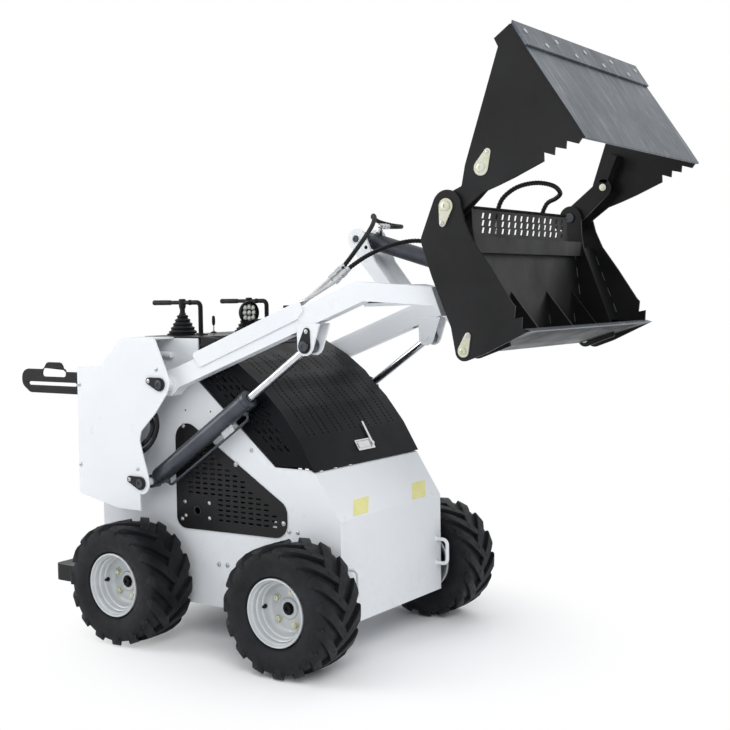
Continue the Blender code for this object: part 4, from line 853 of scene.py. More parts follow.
RIM = [(0.1165, 0.0830), (0.1180, 0.0870), (0.1180, 0.0915), (0.1168, 0.0942), (0.1145, 0.0952),
       (0.1120, 0.0942), (0.1104, 0.0915), (0.1092, 0.0870), (0.1075, 0.0838), (0.1058, 0.0822),
       (0.1042, 0.0800), (0.1030, 0.0700), (0.1018, 0.0655), (0.0985, 0.0632), (0.0968, 0.0600),
       (0.0958, 0.0490), (0.0946, 0.0450), (0.0915, 0.0430), (0.0898, 0.0400), (0.0888, 0.0300),
       (0.0872, 0.0240), (0.0835, 0.0180), (0.0790, 0.0140), (0.0750, 0.0118), (0.0715, 0.0112),
       (0.0400, 0.0112), (0.0380, 0.0122), (0.0365, 0.0150), (0.0340, 0.0168), (0.0, 0.0168)]
RIM_BACK = [(0.0, 0.0068), (0.0700, 0.0068), (0.0840, 0.0100), (0.0900, -0.0200), (0.0925, -0.0740),
            (0.1080, -0.0850), (0.1110, -0.0945), (0.1150, -0.0952), (0.1178, -0.0920), (0.1165, -0.0830),
            (0.1010, -0.0700), (0.1000, -0.0300), (0.1000, 0.0400), (0.1020, 0.0720)]
NUT_CIRCLE = 0.060
NUT_COUNT = 5
NUT_TURN = 5.6
DISC = 0.0112


def wheel_pieces(name, where, sign, tyre):
    body = "wheel_" + name
    spot = Matrix.Translation(where)
    finished("tyre_" + name + "_tread", moved(tyre.copy(), spot), body, "tyre_rubber", ("tyre_" + name,),
             26.0)
    out = (0, sign, 0)
    rim = turned(RIM + RIM_BACK, where, out, 96)
    finished("rim_" + name + "_dish", rim, body, "rim_silver", ("rim_" + name,), 30.0)
    x, y, z = where
    face = y + sign * DISC
    for i in range(NUT_COUNT):
        turn = math.radians(NUT_TURN + 360 * i / NUT_COUNT)
        at = (x + NUT_CIRCLE * math.cos(turn), face, z + NUT_CIRCLE * math.sin(turn))
        gather(body, "zinc", hex_head(at, out, 0.0118, 0.0125))
        gather(body, "zinc", round_bar(at, (at[0], face + sign * 0.0165, at[2]), 0.0058, 16))
    hub = (x, y + sign * 0.0168, z)
    gather(body, "lamp_black", hex_head(hub, out, 0.0175, 0.0095, 0.0085))
    stem = (x - 0.0905, y + sign * 0.030, z)
    gather(body, "lamp_black", turned([(0.0, 0.0), (0.0085, 0.0), (0.0080, 0.006), (0.0050, 0.010),
                                       (0.0045, 0.017), (0.0, 0.018)], stem, (0.25, sign, 0), 20))


def add_wheels():
    tyre = tyre_mesh()
    for end, lead in (("front", 1), ("rear", -1)):
        for side, sign in SIDES:
            where = (lead * WHEELBASE / 2, sign * TRACK_HALF, TYRE_RADIUS)
            wheel_pieces(end + "_" + side, where, sign, tyre)
    bpy.data.meshes.remove(tyre)


# Hood: a curved sheet with rows of small slots and two side walls
HOOD_TOP = [(-0.060, 1.103), (0.053, 1.044), (0.145, 0.978), (0.177, 0.942), (0.243, 0.881),
            (0.323, 0.783), (0.377, 0.694), (0.389, 0.674)]
HOOD_LOWER = [(0.3865, 0.6748), (0.367, 0.684), (0.219, 0.684), (-0.135, 0.979)]
HOOD_HINGE = (-0.078, 1.112)
HOOD_HALF = 0.340
HOOD_SHEET = 0.004
HOOD_ROUND = 0.10
BAND_PITCH = 0.0857
BAND_GAP = 0.032
SLOT_PITCH = 0.0135
SLOT_LENGTH = 0.0092
SLOT_WIDTH = 0.0066


def smooth_profile(points, radius, step=4.0):
    flat = bent([(x, 0.0, z) for x, z in points], radius, step)
    return [(p.x, p.z) for p in flat]


def hood_line():
    """Arc length, point and direction along the hood's outer profile."""
    line = smooth_profile(HOOD_TOP, HOOD_ROUND)
    run, stations = 0.0, []
    for i, point in enumerate(line):
        if i:
            run += math.dist(line[i - 1], point)
        stations.append((run, point))
    return line, stations


def on_hood(stations, run):
    for (r0, p0), (r1, p1) in zip(stations, stations[1:]):
        if r0 <= run <= r1:
            part = (run - r0) / (r1 - r0)
            way = ((p1[0] - p0[0]) / (r1 - r0), (p1[1] - p0[1]) / (r1 - r0))
            return (p0[0] + part * (p1[0] - p0[0]), p0[1] + part * (p1[1] - p0[1])), way
    raise ValueError("no such place on the hood")


def hood_slot(stations, run, y):
    """Cutter for one slot, its length down the hood and its ends round."""
    (x, z), way = on_hood(stations, run)
    normal = (-way[1], way[0])
    outline = slot_outline((0.0, 0.0), SLOT_LENGTH, SLOT_WIDTH, 0.0, 45.0)
    points = []
    for depth in (-0.010, 0.006):
        for along, across in outline:
            points.append((x + way[0] * along + normal[0] * depth, y + across,
                           z + way[1] * along + normal[1] * depth))
    count = len(outline)
    faces = [tuple(range(count)), tuple(range(count, 2 * count))[::-1]]
    faces += [(k, (k + 1) % count, count + (k + 1) % count, count + k) for k in range(count)]
    mesh = bpy.data.meshes.new("slot")
    mesh.from_pydata(points, [], faces)
    return tidied(mesh)


def add_hood():
    line, stations = hood_line()
    inner = []
    for i, point in enumerate(line):
        back, ahead = line[max(i - 1, 0)], line[min(i + 1, len(line) - 1)]
        length = math.dist(back, ahead)
        inner.append((point[0] + HOOD_SHEET * (ahead[1] - back[1]) / length,
                      point[1] - HOOD_SHEET * (ahead[0] - back[0]) / length))
    sheet = slab(line + inner[::-1], -HOOD_HALF, HOOD_HALF)
    cutters = []
    for band in range(7):
        for side in (-1, 1):
            y = BAND_PITCH * (band - 3) + side * BAND_GAP / 2
            for start, count in ((0.100, 8), (0.225, 21)):
                cutters += [hood_slot(stations, start + SLOT_PITCH * k, y) for k in range(count)]
    pieces = [carved(sheet, cutters)]
    wall_outline = [(x, z - 0.0008) for x, z in line] + HOOD_LOWER
    holes = side_slots()
    for sign in (1, -1):
        low, high = sorted((sign * (HOOD_HALF - 0.0005), sign * (HOOD_HALF - 0.0045)))
        pieces.append(slab(wall_outline, low, high, holes))
    pieces.append(round_bar((HOOD_HINGE[0], -0.25, HOOD_HINGE[1]), (HOOD_HINGE[0], 0.25, HOOD_HINGE[1]),
                            0.007))
    leaf = [(-0.079, 1.116), (-0.050, 1.1005), (-0.0523, 1.0961), (-0.0813, 1.1116)]
    pieces.append(slab(leaf, -0.24, 0.24))
    # The hood's black is a darker, bluer copy of the black paint: painted shade and a painted bluish
    # reflection
    finished("hood_cover", merged(pieces), "hood", "hood_black_shade_and_sheen", ("hood",), 24.0)


def edge_room(point, outline):
    """Distance from a point inside a convex outline to its nearest edge; below 0 outside."""
    area = sum(a[0] * b[1] - b[0] * a[1] for a, b in zip(outline, outline[1:] + outline[:1]))
    turn = 1 if area > 0 else -1
    room = 1.0
    for a, b in zip(outline, outline[1:] + outline[:1]):
        length = math.dist(a, b)
        if length > 0.0001:
            cross = (b[0] - a[0]) * (point[1] - a[1]) - (b[1] - a[1]) * (point[0] - a[0])
            room = min(room, turn * cross / length)
    return room


SIDE_SLOPE = -39.8
SIDE_FIELD = [(-0.03, 1.045), (0.05, 1.010), (0.16, 0.930), (0.27, 0.790), (0.322, 0.715), (0.215, 0.700),
              (-0.110, 0.975)]


# The side walls' slots: where the first stands, the steps along and across, one slot's length and width
SIDE_FIRST = (-0.135, 0.979)
SIDE_STEP, SIDE_ROW = 0.046, 0.0205
SIDE_SLOT = (0.030, 0.007)
SIDE_ROOM = 0.012


def side_slots():
    """Staggered slots in the hood's side walls, their length along the lower edge."""
    turn = math.radians(SIDE_SLOPE)
    along, across = (math.cos(turn), math.sin(turn)), (-math.sin(turn), math.cos(turn))
    holes = []
    for row in range(1, 9):
        for column in range(-1, 13):
            u = SIDE_STEP * column + (SIDE_STEP / 2 if row % 2 else 0.0)
            v = SIDE_ROW * row
            point = (SIDE_FIRST[0] + along[0] * u + across[0] * v,
                     SIDE_FIRST[1] + along[1] * u + across[1] * v)
            if edge_room(point, SIDE_FIELD) > SIDE_ROOM:
                holes.append(slot_outline(point, *SIDE_SLOT, SIDE_SLOPE))
    return holes


def add_latch():
    """Chrome paddle in its frame with the lever folded up beside it."""
    upper, lower = HOOD_TOP[5], HOOD_TOP[6]
    way = Vector((lower[0] - upper[0], 0.0, lower[1] - upper[1])).normalized()
    out = Vector((-way.z, 0.0, way.x))
    frame_turn = Matrix((way, Vector((0, 1, 0)), out)).transposed().to_4x4()
    spot = Matrix.Translation(Vector((upper[0], 0.0, upper[1])) + out * 0.0004) @ frame_turn

    def flat(outline, low, high, holes=(), edge=0.0008):
        mesh = slab(outline, low, high, holes, "XZ", edge)
        mesh.transform(PLANES["XZ"])
        return mesh

    ring = rounded([(0.043, -0.038, 0.005), (0.086, -0.038, 0.005), (0.086, 0.070, 0.005),
                    (0.043, 0.070, 0.005)])
    well = rounded([(0.049, -0.032, 0.003), (0.080, -0.032, 0.003), (0.080, 0.052, 0.003),
                    (0.049, 0.052, 0.003)])
    paddle = rounded([(0.053, -0.028, 0.003), (0.076, -0.028, 0.003), (0.076, 0.046, 0.003),
                      (0.053, 0.046, 0.003)])
    lever = rounded([(-0.026, 0.057, 0.005), (0.076, 0.054, 0.005), (0.076, 0.067, 0.005),
                     (-0.026, 0.068, 0.005)])
    parts = [flat(ring, 0.0, 0.0045, [well]), flat(well, 0.0, 0.001), flat(paddle, 0.001, 0.005),
             flat(lever, 0.0045, 0.0075, edge=0.001)]
    for mesh in parts:
        mesh.transform(spot)
    knuckle = round_bar(spot @ Vector((0.066, 0.0605, 0.005)), spot @ Vector((0.066, 0.0605, 0.011)), 0.007,
                        24)
    finished("hood_latch_paddle", merged(parts + [knuckle]), "hood", "chrome", ("hood_latch",))


# Side grilles
GRILLE = [(-0.263, 0.860, 0.060), (-0.264, 0.417, 0.045), (0.262, 0.424, 0.055), (0.262, 0.539, 0.050)]
SLOT_FIELD = [(-0.205, 0.800), (-0.240, 0.770), (-0.240, 0.440), (0.215, 0.445), (0.222, 0.470),
              (0.222, 0.520)]
GRILLE_BOLTS = [(-0.220, 0.803), (0.032, 0.675), (0.248, 0.479), (-0.235, 0.451)]
SQUARE_BOLTS = [(-0.220, 0.518), (-0.100, 0.522), (-0.217, 0.465), (-0.100, 0.465)]
GRILLE_RING = (-0.159, 0.489)


def add_grilles():
    holes = []
    for row in range(20):
        for column in range(13):
            point = (-0.190 + 0.036 * column, 0.463 + 0.0187 * row)
            corners = [(point[0] + dx, point[1] + dz) for dx in (-0.011, 0.011) for dz in (-0.003, 0.003)]
            kept = point[0] < -0.08 and point[1] < 0.545
            if not kept and min(edge_room(c, SLOT_FIELD) for c in corners) > 0.001:
                holes.append(slot_outline(point, 0.0225, 0.0066))
    holes.append(arc(GRILLE_RING, 0.014, 0, 345, 15.0))
    low = BODY_HALF + 0.0003
    sheets = both_sides(lambda: slab(rounded(GRILLE), low, low + 0.004, holes, "XZ", 0.0007))
    for side, sign in SIDES:
        finished("side_grille_" + side + "_sheet", sheets[side], "chassis", "black_paint",
                 ("side_grille_" + side,))
        y = sign * (low + 0.004)
        for x, z in GRILLE_BOLTS:
            gather("chassis", "bright_steel", button_head((x, y, z), (0, sign, 0), 0.0068))
        for x, z in SQUARE_BOLTS:
            gather("chassis", "bright_steel", button_head((x, y, z), (0, sign, 0), 0.0058))
        ring = [(0.0145, -0.006), (0.0145, 0.0016), (0.0172, 0.0016), (0.0172, -0.001)]
        gather("chassis", "cylinder_grey", turned(ring, (GRILLE_RING[0], y, GRILLE_RING[1]), (0, sign, 0),
                                                  36, True))


# Body bolts, blank plates and the covers round the pins
BODY_BOLTS = [(-0.062, 0.297), (-0.021, 0.298), (0.269, 0.451), (0.307, 0.452), (0.104, 0.730)]
TOWER_BOLTS = [(-0.232, 1.022), (-0.339, 0.648), (-0.639, 0.954), (-0.644, 0.645)]


def keeper_pieces(body, finish, pin, tail, face, sign, big=0.0248, small=0.0128, thick=0.0072):
    low, high = sorted((sign * face, sign * (face + thick)))
    gather(body, finish, slab(teardrop(pin, tail, big, small), low, high, edge=0.0008))
    head = (tail[0], sign * (face + thick), tail[1])
    gather(body, "bright_steel", button_head(head, (0, sign, 0), 0.0062))


def pin_head(body, finish, pin, face, sign, radius, high=0.006, socket=0.0):
    at = (pin[0], sign * face, pin[1])
    profile = [(0.0, -0.002), (radius, -0.002), (radius, high - 0.0012), (radius - 0.0012, high)]
    if socket:
        profile += [(socket, high), (socket, high * 0.4), (0.0, high * 0.4)]
    else:
        profile += [(0.0, high)]
    gather(body, finish, turned(profile, at, (0, sign, 0), 40))


def add_chassis_details():
    for _, sign in SIDES:
        for x, z in BODY_BOLTS:
            gather("chassis", "bright_steel", button_head((x, sign * BODY_HALF, z), (0, sign, 0), 0.0070))
        for x, z in TOWER_BOLTS:
            gather("chassis", "bright_steel", button_head((x, sign * TOWER_FACE, z), (0, sign, 0), 0.0066))
        for pin in (BOOM_PIVOT, LIFT_BASE):
            keeper_pieces("chassis", "black_paint", pin, (pin[0] - 0.052, pin[1] + 0.012), TOWER_FACE, sign)
            pin_head("chassis", "cylinder_grey", pin, TOWER_FACE + 0.0066, sign, 0.0165, 0.0046, 0.007)
    # Blank plates on the sloping front panel
    for near, far, top in BLANK_PLATES:
        add_blank_plate(near, far, top)
    add_console_cover()


# Each blank plate: its two sides, and how far up the sloping panel it reaches
BLANK_PLATES = ((-0.200, -0.108, 0.34), (0.188, 0.282, 0.37))
PANEL_LOW = Vector((0.492, 0.0, 0.507))
PANEL_HIGH = Vector((0.389, 0.0, 0.666))
PANEL_LEAN = -0.050
PLATE_FOOT = 0.04
PLATE_LIFTS = (0.0002, 0.0010)


def add_blank_plate(y0, y1, top):
    way = PANEL_HIGH - PANEL_LOW
    out = Vector((way.z, 0.0, -way.x)).normalized()
    base, crest = PANEL_LOW + way * PLATE_FOOT, PANEL_LOW + way * top
    corners = []
    for lift in PLATE_LIFTS:
        corners += [Vector((base.x, y0 + PANEL_LEAN, base.z)) + out * lift,
                    Vector((base.x, y1 + PANEL_LEAN, base.z)) + out * lift,
                    Vector((crest.x, y1, crest.z)) + out * lift, Vector((crest.x, y0, crest.z)) + out * lift]
    faces = [(3, 2, 1, 0), (4, 5, 6, 7), (0, 1, 5, 4), (1, 2, 6, 5), (2, 3, 7, 6), (3, 0, 4, 7)]
    mesh = bpy.data.meshes.new("blank")
    mesh.from_pydata(corners, [], faces)
    gather("chassis", "pale_plate", tidied(mesh))


WAIST_HOSES = [[(-0.648, 0.905), (-0.600, 0.905), (-0.430, 0.935), (-0.300, 0.890), (-0.256, 0.825),
                (-0.285, 0.750), (-0.360, 0.700), (-0.500, 0.660), (-0.600, 0.655), (-0.648, 0.655)],
               [(-0.648, 0.875), (-0.600, 0.875), (-0.430, 0.905), (-0.320, 0.868), (-0.279, 0.815),
                (-0.305, 0.760), (-0.375, 0.720), (-0.500, 0.690), (-0.600, 0.685), (-0.648, 0.685)]]
WAIST_Y = 0.438
BODY_DOTS = [(-0.212, 0.862), (-0.088, 0.862)]


def add_tower_fittings():
    for _, sign in SIDES:
        for route in WAIST_HOSES:
            path = smooth_route([(x, sign * WAIST_Y, z) for x, z in route], 0.008)
            gather("chassis", "rubber", swept(path, [0.0085] * len(path), 16))
            for x, z in (route[0], route[-1]):
                gather("chassis", "bright_steel", hex_head((x, sign * WAIST_Y, z), (1, 0, 0), 0.0120, 0.022))
        gather("chassis", "white_paint", round_bar((-0.405, sign * 0.3440, 1.078),
                                                   (-0.264, sign * 0.3440, 1.068), 0.0110, 32))
        gather("chassis", "white_paint", slab([(-0.402, 1.060), (-0.394, 1.060), (-0.394, 1.132),
                                               (-0.402, 1.132)],
                                              *sorted((sign * 0.3325, sign * 0.3560)), edge=0.0008))
        for x, z in BODY_DOTS:
            gather("chassis", "lamp_black", turned([(0.0, 0.0), (0.0036, 0.0), (0.0030, 0.0008),
                                                    (0.0, 0.0010)],
                                                   (x, sign * (BODY_HALF - 0.0001), z), (0, sign, 0), 20))


def add_console_cover():
    """Rubber flap where the hoses leave the console on the right."""
    outline = rounded([(-0.110, 1.098, 0.006), (-0.035, 1.098, 0.006), (-0.030, 1.132, 0.008),
                       (-0.105, 1.140, 0.010)])
    gather("chassis", "rubber", slab(outline, -0.357, -0.334, edge=0.004))


# Levers, bars and lamp on the console
LEVER_X = -0.338
LEVER_Y = 0.200
LEVER_TOP = 1.262
BAR_X = -0.245
SMALL_LEVER = (-0.357, 0.0)
LAMP_AT = (-0.258, 0.100, 1.216)
LAMP_TURN = -14.0


def boot_profile():
    profile = [(0.0, 0.0), (0.060, 0.0), (0.061, 0.002), (0.061, 0.005), (0.056, 0.0065)]
    for i in range(5):
        big = 0.0545 - 0.008 * i
        z = 0.007 + 0.015 * i
        profile += [(big - 0.004, z), (big - 0.001, z + 0.0022), (big, z + 0.0045),
                    (big - 0.0008, z + 0.0068),
                    (big - 0.004, z + 0.0088), (big - 0.0085, z + 0.0105), (big - 0.0095, z + 0.0125),
                    (big - 0.0092, z + 0.0142)]
    return profile + [(0.0115, 0.084), (0.0100, 0.088), (0.0100, 0.1025), (0.0085, 0.104)]


def add_levers():
    foot = CONSOLE_TOP + 0.0003
    for side, sign in SIDES:
        start = (LEVER_X, sign * LEVER_Y, foot)
        boot = turned(boot_profile() + [(0.0, 0.104)], start, (0, 0, 1), 56)
        y = sign * LEVER_Y
        hub = turned([(0.0, -0.024), (0.0115, -0.023), (0.0135, -0.014), (0.0135, 0.010), (0.0120, 0.0138),
                      (0.0, 0.0142)], (LEVER_X, y, LEVER_TOP), (0, 0, 1), 36)
        rear, front = LEVER_X - 0.150, LEVER_X + 0.048
        grip = [(rear, y, LEVER_TOP), (front, y, LEVER_TOP)]
        handle = round_bar(*grip, 0.0078, 28)
        rubber = turned([(0.0, 0.0), (0.0080, 0.0), (0.0098, 0.0018), (0.0103, 0.006), (0.0098, 0.020),
                         (0.0100, 0.060), (0.0096, 0.088), (0.0088, 0.092), (0.0078, 0.093)],
                        (rear - 0.0008, y, LEVER_TOP), (1, 0, 0), 32)
        cap = turned([(0.0078, -0.001), (0.0100, 0.0), (0.0105, 0.004), (0.0098, 0.010), (0.0070, 0.013),
                      (0.0, 0.0138)],
                     (front - 0.012, y, LEVER_TOP), (1, 0, 0), 32)
        finished("drive_lever_" + side + "_grip", merged([boot, hub, handle, rubber, cap]), "chassis",
                 "rubber", ("drive_lever_" + side,))
        route = [(BAR_X, y, foot), (BAR_X, y, LEVER_TOP), (BAR_X - 0.040, y, LEVER_TOP)]
        bar = pipe(route, 0.009, 0.028, 24)
        low = slab(rounded([(BAR_X - 0.020, y - 0.020, 0.005), (BAR_X + 0.020, y - 0.020, 0.005),
                            (BAR_X + 0.020, y + 0.020, 0.005), (BAR_X - 0.020, y + 0.020, 0.005)]),
                   0.0, 0.004, edge=0.0008)
        low.transform(Matrix.Translation((0, 0, foot)) @ PLANES["XZ"])
        weld = turned([(0.0088, 0.0), (0.0128, 0.0), (0.0118, 0.0022), (0.0088, 0.0040)],
                      (BAR_X, y, foot + 0.004), (0, 0, 1), 28, True)
        finished("reference_bar_" + side + "_tube", merged([bar, low, weld]), "chassis", "lamp_black",
                 ("reference_bar_" + side,))
        for dx, dy in ((-0.014, -0.014), (0.014, 0.014)):
            gather("chassis", "bright_steel", button_head((BAR_X + dx, y + dy, foot + 0.004), (0, 0, 1),
                                                          0.0036))
    x, y = SMALL_LEVER
    knob = turned([(0.0030, 0.030), (0.0050, 0.032), (0.0066, 0.040), (0.0068, 0.052), (0.0060, 0.064),
                   (0.0035, 0.0685), (0.0, 0.0695)], (x, y, foot), (0, 0, 1), 28)
    plate_foot = turned([(0.0, 0.0), (0.0125, 0.0), (0.0125, 0.003), (0.0090, 0.0045), (0.0045, 0.007),
                         (0.0, 0.007)],
                        (x, y, foot), (0, 0, 1), 32)
    finished("aux_lever_knob", merged([knob, plate_foot]), "chassis", "rubber", ("aux_lever",))
    gather("chassis", "bright_steel", round_bar((x, y, foot + 0.005), (x, y, foot + 0.034), 0.0030, 16))


def add_lamp_housing():
    foot = CONSOLE_TOP + 0.0003
    x, y, z = LAMP_AT
    turn = math.radians(LAMP_TURN)
    ahead = Vector((math.cos(turn), math.sin(turn), 0.0))
    shell = turned([(0.0, -0.033), (0.018, -0.033), (0.021, -0.031), (0.034, -0.020), (0.040, -0.012),
                    (0.045, -0.004),
                    (0.047, 0.001), (0.047, 0.0085), (0.0460, 0.0100), (0.0440, 0.0100), (0.0430, 0.0085),
                    (0.0425, 0.0020), (0.0, 0.0020)], LAMP_AT, ahead, 64)
    fins = [turned([(0.018, d), (0.043 + d * 0.9, d), (0.043 + d * 0.9, d + 0.0016), (0.018, d + 0.0016)],
                   LAMP_AT, ahead, 48, True) for d in (-0.026, -0.0215, -0.017, -0.0125)]
    post = slab(rounded([(x - 0.026, foot + 0.003), (x - 0.020, foot + 0.003), (x - 0.018, z - 0.020, 0.004),
                         (x - 0.018, z + 0.006, 0.002), (x - 0.025, z + 0.006, 0.002)]), y - 0.011, y + 0.011,
                edge=0.0008)
    base = slab([(x - 0.034, foot), (x + 0.010, foot), (x + 0.010, foot + 0.004), (x - 0.034, foot + 0.004)],
                y - 0.016, y + 0.016, edge=0.0006)
    finished("work_lamp_housing", merged([shell, *fins, post, base]), "chassis", "lamp_black", ("work_lamp",))
    side = Vector((0, 0, 1)).cross(ahead)
    cells, rings = [], []
    for row in (-1, 0, 1):
        for column in (-1, 0, 1):
            at = Vector(LAMP_AT) + side * (0.0225 * column) + Vector((0, 0, 0.0225 * row)) + ahead * 0.0022
            if row and column:
                at += (side * column + Vector((0, 0, row))) * -0.0030
            rings.append(turned([(0.0098, 0.0), (0.0098, 0.0030), (0.0088, 0.0034), (0.0080, 0.0)], at,
                                ahead, 28, True))
            cells.append(turned([(0.0, 0.0046), (0.0035, 0.0040), (0.0066, 0.0020), (0.0080, 0.0)], at,
                                ahead, 24))
    gather("chassis", "bright_steel", *rings)
    gather("chassis", "lens", *cells)


# Hydraulic cylinders
def unit(start, end):
    way = Vector((end[0] - start[0], 0.0, end[1] - start[1]))
    return way.normalized(), way.length


def beside(base, tip, along, out):
    way, _ = unit(base, tip)
    return (base[0] + way.x * along - way.z * out, base[1] + way.z * along + way.x * out)


def add_cylinder(name, base, tip, y, size, pin, extras=()):
    """size: barrel radius, barrel length, rod radius, eye radius, eye width, inner end of the rod."""
    barrel, length, shaft, eye, width, inner_end = size
    way, reach = unit(base, tip)
    origin = (base[0], y, base[1])
    back = eye * 0.75
    end = length
    gland = end - 0.030
    step = barrel * 0.06
    profile = [(0.0, back), (barrel * 0.55, back), (barrel * 0.78, back + 0.003),
               (barrel * 0.94, back + 0.009),
               (barrel, back + 0.014), (barrel, back + 0.024), (barrel + 0.0008, back + 0.0255),
               (barrel + 0.0008, back + 0.0285), (barrel, back + 0.030), (barrel, gland - 0.002),
               (barrel + 0.0020, gland), (barrel + 0.0020, gland + 0.011), (barrel + 0.0006, gland + 0.0118),
               (barrel + 0.0006, gland + 0.0138), (barrel + 0.0020, gland + 0.0146),
               (barrel + 0.0020, end - 0.003),
               (barrel + 0.0005, end - 0.0005), (barrel - step, end), (shaft + 0.0065, end),
               (shaft + 0.0050, end + 0.0016),
               (shaft + 0.0022, end + 0.0016), (shaft + 0.0009, end - 0.002), (shaft + 0.0009, end - 0.050),
               (0.0, end - 0.050)]
    body_name = name.replace("cylinder", "barrel")
    half = width / 2
    hole = pin + 0.0009
    ring = [(hole, -half), (eye - 0.0012, -half), (eye, 0.0012 - half), (eye, half - 0.0012),
            (eye - 0.0012, half), (hole, half)]
    lug = turned(ring, origin, (0, 1, 0), 56, True)
    finished(body_name + "_tube", merged([turned(profile, origin, way, 64), lug, *extras]), body_name,
             "cylinder_grey", (body_name,))
    rod_name = name.replace("cylinder", "rod")
    tip_at = (tip[0], y, tip[1])
    start = Vector(origin) + way * inner_end
    stop = Vector(origin) + way * (reach - eye * 0.80)
    finished(rod_name + "_shaft", round_bar(start, stop, shaft, 48), rod_name, "chrome", (rod_name,))
    tip_hole = eye * 0.5
    tip_ring = [(tip_hole, -half), (eye - 0.0012, -half), (eye, 0.0012 - half), (eye, half - 0.0012),
                (eye - 0.0012, half), (tip_hole, half)]
    collar_at = Vector(origin) + way * (reach - eye * 1.05)
    collar = turned([(shaft + 0.0005, -0.004), (shaft + 0.0035, 0.0), (shaft + 0.0045, 0.006),
                     (shaft + 0.0045, 0.012)],
                    collar_at, way, 40)
    gather(rod_name, "cylinder_grey", turned(tip_ring, tip_at, (0, 1, 0), 48, True), collar)


LIFT_SIZE = (0.0325, 0.575, 0.015, 0.025, 0.038, 0.350)
TILT_SIZE = (0.030, 0.400, 0.014, 0.025, 0.050, 0.165)
CLAM_SIZE = (0.016, 0.330, 0.009, 0.016, 0.028, 0.120)
PORT_OUT = 0.060
BASE_PORT = 0.045
GLAND_PORT = 0.345


def lift_extras(y):
    """Hard line under the barrel, with its bosses, nuts and clamp."""
    places = ((0.060, -0.020), (0.060, -0.057), (0.530, -0.057), (0.530, -0.020))
    route = [(x, y, z) for x, z in (beside(LIFT_BASE, ROD_PIN, *place) for place in places)]
    line = pipe(route, 0.0052, 0.016, 18)
    way, _ = unit(LIFT_BASE, ROD_PIN)
    down = Vector((way.z, 0.0, -way.x))
    shapes = [line]
    for along in (0.060, 0.530):
        x, z = beside(LIFT_BASE, ROD_PIN, along, -0.0300)
        boss = turned([(0.0, 0.0), (0.0105, 0.0), (0.0105, 0.0035), (0.0088, 0.0045), (0.0088, 0.0060)],
                      (x, y, z), down, 32)
        nut = turned([(0.0088, 0.0045), (0.0098, 0.0050), (0.0098, 0.0110), (0.0085, 0.0122), (0.0, 0.0122)],
                     (x, y, z), down, 6)
        shapes += [boss, nut]
    corners = ((0.395, -0.030), (0.455, -0.030), (0.455, -0.0575), (0.395, -0.0575))
    clip = [beside(LIFT_BASE, ROD_PIN, *corner) for corner in corners]
    gather("lift_barrel_right" if y < 0 else "lift_barrel_left", "bright_steel",
           slab(clip, y - 0.0072, y - 0.0056, edge=0.0004))
    return shapes


def tilt_extras():
    """Ports on top of the tilt barrel, with elbows that turn sideways to their hoses."""
    shapes = []
    for along, sign in ((BASE_PORT, 1), (GLAND_PORT, -1)):
        low = beside(TILT_BASE, TILT_PIN, along, 0.020)
        high = beside(TILT_BASE, TILT_PIN, along, PORT_OUT)
        way = Vector((high[0] - low[0], 0.0, high[1] - low[1])).normalized()
        shapes.append(turned([(0.0, 0.0), (0.0125, 0.0), (0.0125, 0.0155), (0.0110, 0.0170), (0.0, 0.0170)],
                             (low[0], 0, low[1]), way, 36))
        spot = (high[0], 0.0, high[1])
        bright = [turned([(0.0, 0.016), (0.0118, 0.016), (0.0118, 0.0265), (0.0100, 0.0280), (0.0, 0.0280)],
                         (low[0], 0, low[1]), way, 6),
                  round_bar((low[0] + way.x * 0.027, 0, low[1] + way.z * 0.027), spot, 0.0078, 28),
                  turned([(0.0, -0.010), (0.006, -0.0095), (0.0098, -0.006), (0.0100, 0.0), (0.0100, 0.010),
                          (0.0085, 0.0125), (0.0, 0.0125)], spot, (0, sign, 0), 32),
                  turned([(0.0, 0.012), (0.0090, 0.012), (0.0090, 0.016), (0.0, 0.016)], spot, (0, sign, 0),
                         32),
                  turned([(0.0, 0.0155), (0.0115, 0.0160), (0.0115, 0.0285), (0.0100, 0.0300),
                          (0.0, 0.0300)], spot,
                         (0, sign, 0), 6)]
        gather("tilt_barrel", "bright_steel", *bright)
    return shapes


def add_cylinders():
    add_cylinder("tilt_cylinder", TILT_BASE, TILT_PIN, 0.0, TILT_SIZE, 0.012, tilt_extras())
    for side, sign in SIDES:
        add_cylinder("lift_cylinder_" + side, LIFT_BASE, ROD_PIN, sign * ARM_Y, LIFT_SIZE, 0.014,
                     lift_extras(sign * ARM_Y))
        add_cylinder("clam_cylinder_" + side, CLAM_BASE, CLAM_ROD_PIN, sign * CLAM_CYLINDER_Y, CLAM_SIZE,
                     0.009)


# Boom: covers round the pins, pipes on the right arm and their couplings
ARM_SLOPE = 20.54
PIPE_START = 0.175
ARM_PIPES = ((-0.380, 0.385, (0.477, -0.344, 1.340), (0.5028, -0.3222, 1.3717)),
             (-0.402, 0.415, (0.507, -0.358, 1.330), (0.5328, -0.3362, 1.3617)))


def arm_line(x, height):
    slope = math.radians(ARM_SLOPE)
    return 0.946 + (x + 0.190) * math.tan(slope) + height / math.cos(slope)


